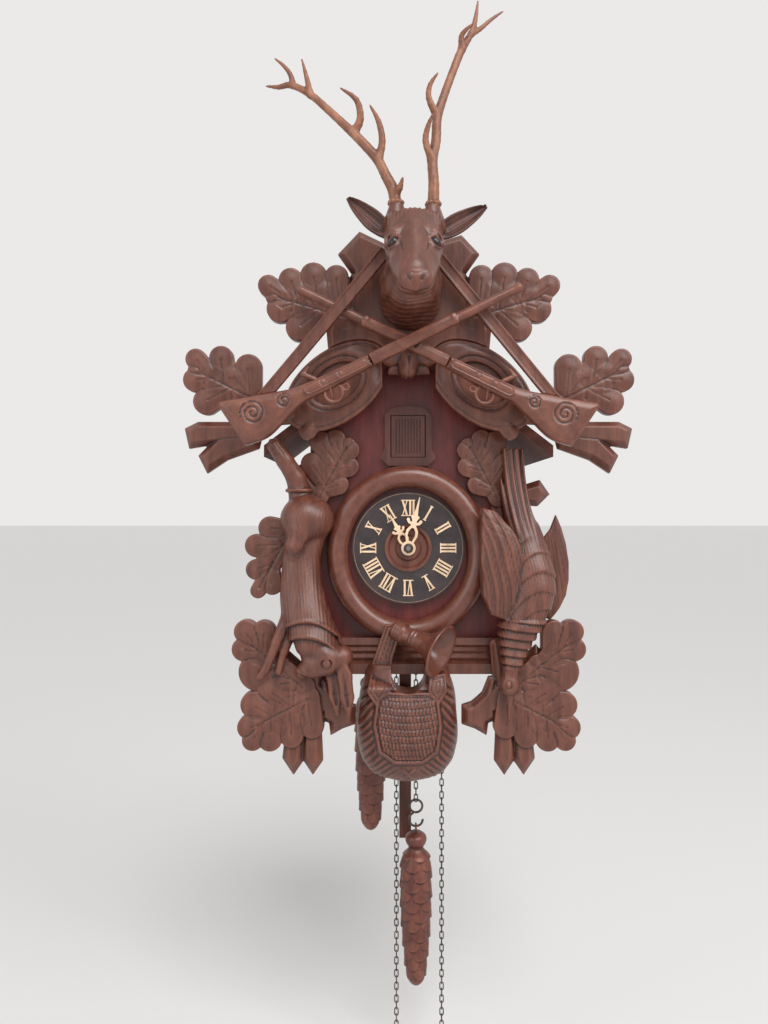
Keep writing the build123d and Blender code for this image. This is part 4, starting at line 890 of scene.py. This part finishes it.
def game_bird(p):
    x, d, z = p
    body = trunk(p, BIRD_LINE, BIRD_WIDE, BIRD_DEEP, -112, 88)
    flow = (x - 92 - 0.0016 * (88 - z) ** 2) * 1.15
    flutes = 0.8 * sin(flow + 0.5 * sin(flow * 0.7)) * smooth(0, 40, z)
    rows = ((z + 0.030 * (x - 116) ** 2 + 0.2 * (x - 106)) / 16.0) % 1.0
    rows = smooth(0.0, 0.84, rows) - smooth(0.86, 1.0, rows)
    scales = 0.9 * rows * smooth(14, 2, z) * smooth(-66, -56, z)
    barbs = 0.14 * sin(x * 2.4 + z * 0.5) * smooth(20, 10, z)
    collar = ((-62 - z - 0.12 * (x - 92)) / 7.5) % 1.0
    collar = (collar - smooth(0.82, 1.0, collar)) * smooth(-58, -63, z) * smooth(-104, -99, z)
    body = body + flutes + scales + barbs - 2.4 * collar
    body = smin(body, ball(p, 86, -116, 152.5, 9, 10, 9), 2.5)
    beak = limb(p, [(86, -122, 153, 4.2), (86.3, -134, 153, 2.0), (86, -146, 151.5, 0.9)], 1)
    body = smin(body, beak, 1)
    body = smax(body, -(hypot(hypot(x - 84, z + 115) - 3.2, d - 161) - 0.8), 0.4)
    body = smin(body, ball(p, 84, -115, 160, 2.2), 0.4)
    outline = polygon(x, z, WING)
    lanes = ((curve(WING_EDGE, z) - x + 0.004 * (z + 14) ** 2) / FEATHER) % 1.0
    quills = ridge((lanes - 0.35) * FEATHER, 0.9)
    lanes = lanes - smooth(0.62, 1.0, lanes)
    shoulder = smooth(6, 20, z)
    cover = ridge(((z + 0.6 * (x - 70)) / FEATHER % 1.0 - 0.5) * FEATHER, 0.9) * shoulder
    top = 156.5 + 4.5 * sqrt(clip(-outline / 14.0, 0, 1)) - 0.4 * quills - 0.3 * cover
    top = top + 1.4 * lanes - 0.0022 * (x - 80) ** 2
    body = together(body, slab(p, outline, WING_BACK, top, 1.4, 0.5))
    far = polygon(x, z, FAR_WING)
    quill = ridge((((arctan2(x - 120, z - 60) * 20) % 1.0) - 0.5) * 3.0, 0.5)
    front = LEAF_FRONT + 4.6 + 1.8 * sqrt(clip(-far / 8, 0, 1)) - 0.3 * quill
    return together(on_boards(p, body), slab(p, far, LEAF_FRONT, front, 1.0, 0.3))


carve("hung_hare", hare, (-136, 125, -148), (-44, 176, 100), ["hare"])
carve("hung_bird", game_bird, (56, 125, -150), (146, 172, 92), ["game_bird"])

# Game bag, horn and bell.
BAG_LOW = -204
BAG_WIDE = [(-100, 33), (-104, 35), (-112, 38), (-124, 41.5), (-140, 43), (-172, 43), (-188, 37), (-198, 26),
            (BAG_LOW, 8)]
BAG_DEEP = [(-104, 16), (-112, 20), (-128, 27), (-150, 31), (-172, 31.5), (-188, 26), (-198, 17),
            (BAG_LOW, 5)]
BAG_POWER = 2.3
STRAP_BACK = 135.8
CROSS_Z = -192
WEAVE_ROW = 5.6
WEAVE_STEP = 3.1
FLAP = [(-27, -126), (-18, -121), (16, -121), (26, -126), (29, -150), (25, -172), (12, -181), (-12, -181),
        (-25, -172), (-30, -150)]
# Each strap: its outline, and how far forward its top and its foot stand.
STRAPS = (
    ([(-20, -66), (-4, -66), (-14, -96), (-16, -122), (-26, -137), (-36, -122), (-32, -100)], (141, 160)),
    ([(17, -108), (31, -106), (32, -121), (24, -134), (16, -121)], (156, 160.5)),
)


def bag(p):
    x, d, z = p[0] + 1, p[1], p[2]
    w = curve(BAG_WIDE, z)
    body = rounded(x, d - SKIRT_BACK, w, curve(BAG_DEEP, z), BAG_POWER)
    flap = polygon(x, z, FLAP)
    pleats = sin((z + 1.1 * abs(x)) * 0.85 + 0.6 * sin(z * 0.2))
    pleats = pleats * smooth(0, 4, flap) * smooth(0, 24, abs(x)) * smooth(1.0, 0.84, abs(x) / w)
    body = body + 0.7 * pleats * smooth(-112, -120, z) * smooth(-203, -196, z)
    sag = z - 0.004 * x**2
    row = np.floor(sag / WEAVE_ROW)
    weave = 0.5 * np.cos(x * 2 * math.pi / WEAVE_STEP + 2.1 * row)
    weave = weave - 0.6 * ridge((sag / WEAVE_ROW - row - 0.5) * WEAVE_ROW - 2.6, 0.8)
    lift = smooth(1.0, -1.0, flap)
    body = body - lift * (2.4 + 1.0 * weave * smooth(-2, -5, flap)) + 1.2 * ridge(flap + 3.4, 0.8)
    up = z - CROSS_Z
    cross = together(abs(x - up), abs(x + up))
    body = body - 1.4 * ridge(cross, 1.5) * (hypot(x, up) < 8)
    notch = 14.5 - hypot(x, np.minimum(z + 108, 0))
    body = within(body, z + 101, BAG_LOW - z, notch, SKIRT_BACK - d)
    for points, (top, foot) in STRAPS:
        outline = polygon(p[0], z, points)
        lines = ridge(outline + 2.6, 0.7) + 0.8 * ridge(outline + 6.0, 0.6)
        front = top + (foot - top) * smooth(-104, -120, z) - 1.0 * lines
        body = together(body, slab(p, outline, STRAP_BACK, front, 0.8, 0.3, 0.8))
    return within(body, -bell_shell(p, 0.6, True), -horn_room(p))


def ring(p):
    return within(horn_room(p, 0.0), FACE - p[1])


BELL_NECK = (-6, -73, 143)
BELL_END = (27, -86, 163)
BELL_START = -9
BELL_LINE = [(BELL_START, 6.5), (0, 7.4), (10, 7.2), (19, 8.5), (26, 10.5), (33, 14.5), (38, 19.5),
             (41.5, 23)]


# Beads round the bell as place along it, radius, wire radius and blend.
BELL_COILS = [(place, 7.4, 1.5, 0.4) for place in (-5.5, -3.0, -0.5, 2.0)]
BELL_COILS += [(place, 7.6, 1.2, 0.5) for place in (12.0, 15.0)]


def bell_lines(p):
    run = [b - a for a, b in zip(BELL_NECK, BELL_END)]
    length = math.sqrt(sum(r * r for r in run))
    x, z, d = p[0] - BELL_NECK[0], p[2] - BELL_NECK[1], p[1] - BELL_NECK[2]
    t = (x * run[0] + z * run[1] + d * run[2]) / length
    far = sqrt(np.maximum(x * x + z * z + d * d - t * t, 0))
    return t, far, length


def bell_shell(p, grow, filled=False):
    t, far, length = bell_lines(p)
    outer = far - curve(BELL_LINE, t) - grow
    shell = within(outer * 0.85, BELL_START - t, t - length - 0.4)
    if filled:
        return shell
    hollow = within((far - curve(BELL_LINE, t) + 2.0) * 0.85, length - 17 - t)
    return smax(shell, -hollow, 0.5)


def bell(p):
    t, far, length = bell_lines(p)
    whole = bell_shell(p, 0.0)
    for place, radius, wire, blend in (*BELL_COILS, (length - 0.4, 22.4, 1.1, 0.8)):
        whole = smin(whole, hypot(far - radius, t - place) - wire, blend)
    return within(whole, -horn_room(p))


carve("bag_game", bag, (-50, 125, -208), (48, 172, -56), ["game_bag"])
carve("oval_horn", ring, (-75, 117, -86), (75, 137, 76), ["horn_ring"], HORN)
carve("mouth_horn", bell, (-22, 128, -114), (46, 186, -52), ["horn_bell"], HORN, step=FINE * 0.9)

# Weights shaped as fir cones, the leaf bob, and the pale line round the dial.
CHAIN_DEPTH = 62.0
CONE_LENGTH = 150.0
CONE_LINE = [(0, 5), (-3, 9), (-7, 10.5), (-11, 9.5), (-15, 7.2), (-18, 8.4), (-22, 11.2), (-30, 13.4),
             (-46, 14.0), (-72, 13.8), (-98, 12.4), (-122, 10.2), (-136, 8.6), (-144, 6.6), (-148.5, 3.6),
             (-CONE_LENGTH, 1)]
CONE_ROOM = 19
HOOK_LENGTH = 31.0
SCALE_START = 18
SCALE_ROW = 9.6
SCALE_LONG = 1.75
SCALES_ROUND = 5


def fir_cone(cx, top, p):
    z = p[2] - top
    far = hypot(p[0] - cx, p[1] - CHAIN_DEPTH)
    angle = arctan2(p[1] - CHAIN_DEPTH, p[0] - cx) / (2 * math.pi) * SCALES_ROUND
    rise = np.zeros_like(far)
    first = np.floor((-z - SCALE_START) / SCALE_ROW)
    for back in (0, 1):
        row = first - back
        u = (angle + 0.5 * (row % 2)) % 1.0 - 0.5
        v = (-z - SCALE_START - row * SCALE_ROW) / (SCALE_ROW * SCALE_LONG)
        wide = 0.5 * sqrt(clip(1 - clip((v - 0.55) / 0.45, 0, 1) ** 2, 0, 1))
        bump = (0.2 + 2.0 * v - 0.9 * (2 * u) ** 2 + 0.2 * ridge(u, 0.06)) * (abs(u) < wide)
        rise = np.maximum(rise, bump * (row >= -1))
    rise = rise * smooth(-149, -141, z) * smooth(-15, -23, z)
    body = (far - curve(CONE_LINE, z) - rise) * 0.75
    body = within(body, z, -CONE_LENGTH - z)
    eye = hypot(hypot(p[1] - CHAIN_DEPTH, z - 3.7) - 3.6, p[0] - cx) - 1.0
    return together(body, eye)


for name, cx, hook in (("going", 9.5, -247.8), ("strike", -34.5, -96.8)):
    top = hook - HOOK_LENGTH
    low = (cx - CONE_ROOM, CHAIN_DEPTH - CONE_ROOM, top - CONE_LENGTH - 1)
    high = (cx + CONE_ROOM, CHAIN_DEPTH + CONE_ROOM, top + 9)
    carve("cone_" + name, partial(fir_cone, cx, top), low, high, [name + "_weight"], IRON,
          body=name + "_load")

BOB_MIDDLE = (0, -178)
BOB_LOBES = [(side * x, z, 8) for side in (-1, 1) for x, z in ((20, -162), (25, -180), (17, -196))]
BOB_LEAF = ((0, -153), (0, -204, 7), 9, BOB_LOBES)


def bob(p):
    whole = oak_leaf(p, BOB_LEAF, 27, 34.5, 0.6, BOB_MIDDLE)
    return together(whole, lobe_board(p, (0, -152), (0, -150), 6, 6, 27, 34))


carve("leaf_bob", bob, (-36, 26, -214), (36, 38, -142), ["pendulum_bob"], body="pendulum")


HOOP_TURN = 180
HOOP_BEND = 12


def hoop(radius, wire, depth):
    i, j = np.meshgrid(np.arange(HOOP_TURN), np.arange(HOOP_BEND), indexing="ij")
    a, b = i * (2 * math.pi / HOOP_TURN), j * (2 * math.pi / HOOP_BEND)
    out = radius + wire * np.cos(b)
    verts = np.stack([out * sin(a), depth + wire * sin(b), out * np.cos(a)], -1).reshape(-1, 3)
    this, after = i * HOOP_BEND, (i + 1) % HOOP_TURN * HOOP_BEND
    over = (j + 1) % HOOP_BEND
    faces = np.stack([this + j, this + over, after + over, after + j], -1).reshape(-1, 4)
    return verts, faces


LINE = look("dial_line", ((120, 92, 74), (146, 114, 92), (170, 136, 110)), 0.4, BONE_GRAIN, 0.1)
piece("line_dial", to_mesh("line_dial", *hoop(48.7, 0.28, 125.05)), LINE, "case", ())

# Hands cut as fretwork. Each row is a stroke of the right half, drawn pointing up for the full reach.
FULL_REACH = 48.0
HAND_RING = 6.4
HAND_THICK = 1.4
HAND_STEP = 0.35
HAND_EDGE = 0.35
HAND_LINES = [
    ((2.6, 6.0), (4.5, 12.0), 1.0, 1.2),
    ((4.5, 12.0), (4.2, 16.0), 1.2, 1.3),
    ((4.2, 16.0), (1.0, 21.0), 1.3, 1.2),
    ((0.0, 20.5), (0.0, 29.0), 1.9, 2.5),
    ((1.2, 22.5), (4.6, 23.6), 1.3, 1.2),
    ((4.6, 23.6), (5.8, 25.8), 1.2, 1.5),
    ((0.5, 26.5), (2.7, 29.2), 1.7, 1.2),
    ((0.0, 29.0), (0.0, 37.0), 2.3, 1.2),
    ((0.0, 37.0), (0.0, 47.4), 1.2, 0.5),
]


def clock_hand(reach, degrees, back, bore, p):
    long = reach / FULL_REACH
    wide = 0.5 + 0.5 * long
    u, v = turned(p[0], p[2], 0, 0, -degrees)
    out = hypot(u, v)
    flat = out - HAND_RING
    for a, b, ra, rb in HAND_LINES:
        start, end = (a[0] * wide, a[1] * long), (b[0] * wide, b[1] * long)
        flat = together(flat, flat_rod(abs(u), v, start, end, ra * wide, rb * wide)[0])
    flat = within(flat, bore - out)
    return smax(flat, abs(p[1] - back - HAND_THICK / 2) - HAND_THICK / 2, HAND_EDGE)


# Each hand: body, reach, degrees past twelve, back and bore.
HANDS = (("minute", 46.5, 12.6, 131.4, 2.0), ("hour", 34.0, -28.9, 128.6, 3.4))
for name, reach, degrees, back, bore in HANDS:
    field = partial(clock_hand, reach, degrees, back, bore)
    carve("hand_" + name, field, (-26, back - 0.2, -9), (20, back + 1.6, 49), [name + "_hand"], BONE,
          HAND_STEP, name)

# Pleated paper between each whistle and its bellows lid.
PLEATS = 4
PLEAT_DEEP = 2.2
PAPER_LOW = 30.05
PAPER_HIGH = 45.95
PAPER_HALF = 10.5
PAPER_BACK = 60.5
PAPER_FRONT = 103.5


def bellows_paper(side, middle):
    rings = 2 * PLEATS + 1
    verts = []
    faces = [(0, 1, 2, 3)]
    for level in range(rings):
        deep = PLEAT_DEEP * (level % 2)
        half = PAPER_HALF - deep
        z = PAPER_LOW + (PAPER_HIGH - PAPER_LOW) * level / (rings - 1)
        front = PAPER_FRONT - deep
        for x, d in ((-half, PAPER_BACK), (half, PAPER_BACK), (half, front), (-half, front)):
            verts.append((middle + x, d, z))
        if level:
            low, high = 4 * level - 4, 4 * level
            for a, b in ((0, 1), (1, 2), (2, 3), (3, 0)):
                faces.append((low + b, low + a, high + a, high + b))
    top = 4 * (rings - 1)
    faces.append((top + 3, top + 2, top + 1, top))
    name = "paper_" + side
    mesh = to_mesh(name, np.array(verts), np.array(faces))
    mesh.shade_flat()
    mesh.materials.append(PAPER)
    obj = in_scene(name, mesh)
    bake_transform(obj)
    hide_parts("bellows_fold_" + side)


for side, middle in (("left", -69.0), ("right", 69.0)):
    bellows_paper(side, middle)

# Materials for the pieces that keep their built shape.
BUILT = {
    "case_wood": BOARDS, "panel_wood": PANEL, "carved_wood": CARVED, "steel": STEEL, "brass": BRASS,
    "antler_wood": ANTLER, "dial_black": BLACK, "bone_white": BONE, "chain_metal": CHAIN, "cone_iron": IRON,
    "stick_wood": STICK, "bellows_paper": PAPER, "bird_paint": PAINT,
}
SPECIAL = {"roof_boards": ROOF, "door_frame": DOOR, "cuckoo_door": DOOR, "hand_nut": CHAIN}
NODE_SLOTS = {n["node"]: n["material_slot"] for n in frame["record"]["subparts"]}
for name, node in frame["nodes"].items():
    node.data.materials.clear()
    node.data.materials.append(SPECIAL.get(name, BUILT[NODE_SLOTS[name]]))

# Studio: a pale floor, soft lights, and the camera at the photograph's place.
scene = bpy.context.scene
scene.view_settings.view_transform = "Standard"
FLOOR_Z = -0.64
FLOOR_HALF = 30.0
FLOOR_CORNERS = [(x * FLOOR_HALF, y * FLOOR_HALF, FLOOR_Z) for x, y in ((-1, -1), (1, -1), (1, 1), (-1, 1))]
ground = bpy.data.meshes.new("floor")
ground.from_pydata(FLOOR_CORNERS, [], [(0, 1, 2, 3)])
floor = in_scene("floor", ground)
floor_look = bpy.data.materials.new("pale_floor")
floor_look.use_nodes = True
floor_shader = floor_look.node_tree.nodes["Principled BSDF"]
settle(floor_shader, Base_Color=(0.78, 0.77, 0.76, 1), Roughness=0.9)
ground.materials.append(floor_look)

world = bpy.data.worlds.new("studio")
scene.world = world
world.use_nodes = True
tree = world.node_tree
sky = settle(tree.nodes["Background"], Color=(1, 1, 1, 1), Strength=0.42)
seen = add(tree, "Background", Color=(0.83, 0.82, 0.81, 1), Strength=1.0)
path = add(tree, "LightPath")
choose = add(tree, "MixShader")
direct = (path, "Is Camera Ray")
for ray in ("Is Glossy Ray", "Is Transmission Ray"):
    either = add(tree, "Math")
    either.operation = "MAXIMUM"
    join(*direct, either, 0)
    join(path, ray, either, 1)
    direct = (either, "Value")
join(*direct, choose, "Fac")
join(sky, "Background", choose, 1)
join(seen, "Background", choose, 2)
join(choose, "Shader", tree.nodes["World Output"], "Surface")


def lamp(name, place, aim, power, size):
    light = bpy.data.lights.new(name, "AREA")
    light.energy = power
    light.size = size
    obj = in_scene(name, light)
    obj.location = place
    run = [b - a for a, b in zip(place, aim)]
    flat = math.hypot(run[0], run[1])
    obj.rotation_euler = (math.atan2(flat, -run[2]), 0, math.atan2(-run[0], run[1]))


MIDDLE = (0, -0.1, -0.08)
lamp("window", (1.3, -1.3, 0.9), MIDDLE, 16, 0.9)
lamp("fill", (-1.6, -1.5, 0.3), MIDDLE, 9, 1.4)
sun = bpy.data.lights.new("sun", "SUN")
sun.energy = 1.7
sun.angle = math.radians(30)
sun_lamp = in_scene("sun", sun)
sun_lamp.rotation_euler = (math.radians(40), math.radians(12), 0)

camera_data = bpy.data.cameras.new("camera")
camera_data.lens = 27.56
camera_data.sensor_fit = "VERTICAL"
camera_data.sensor_height = 36.0
camera = in_scene("camera", camera_data)
camera.location = (-0.0216, -0.826, -0.0979)
camera.rotation_euler = (math.pi / 2, 0, 0)
scene.camera = camera
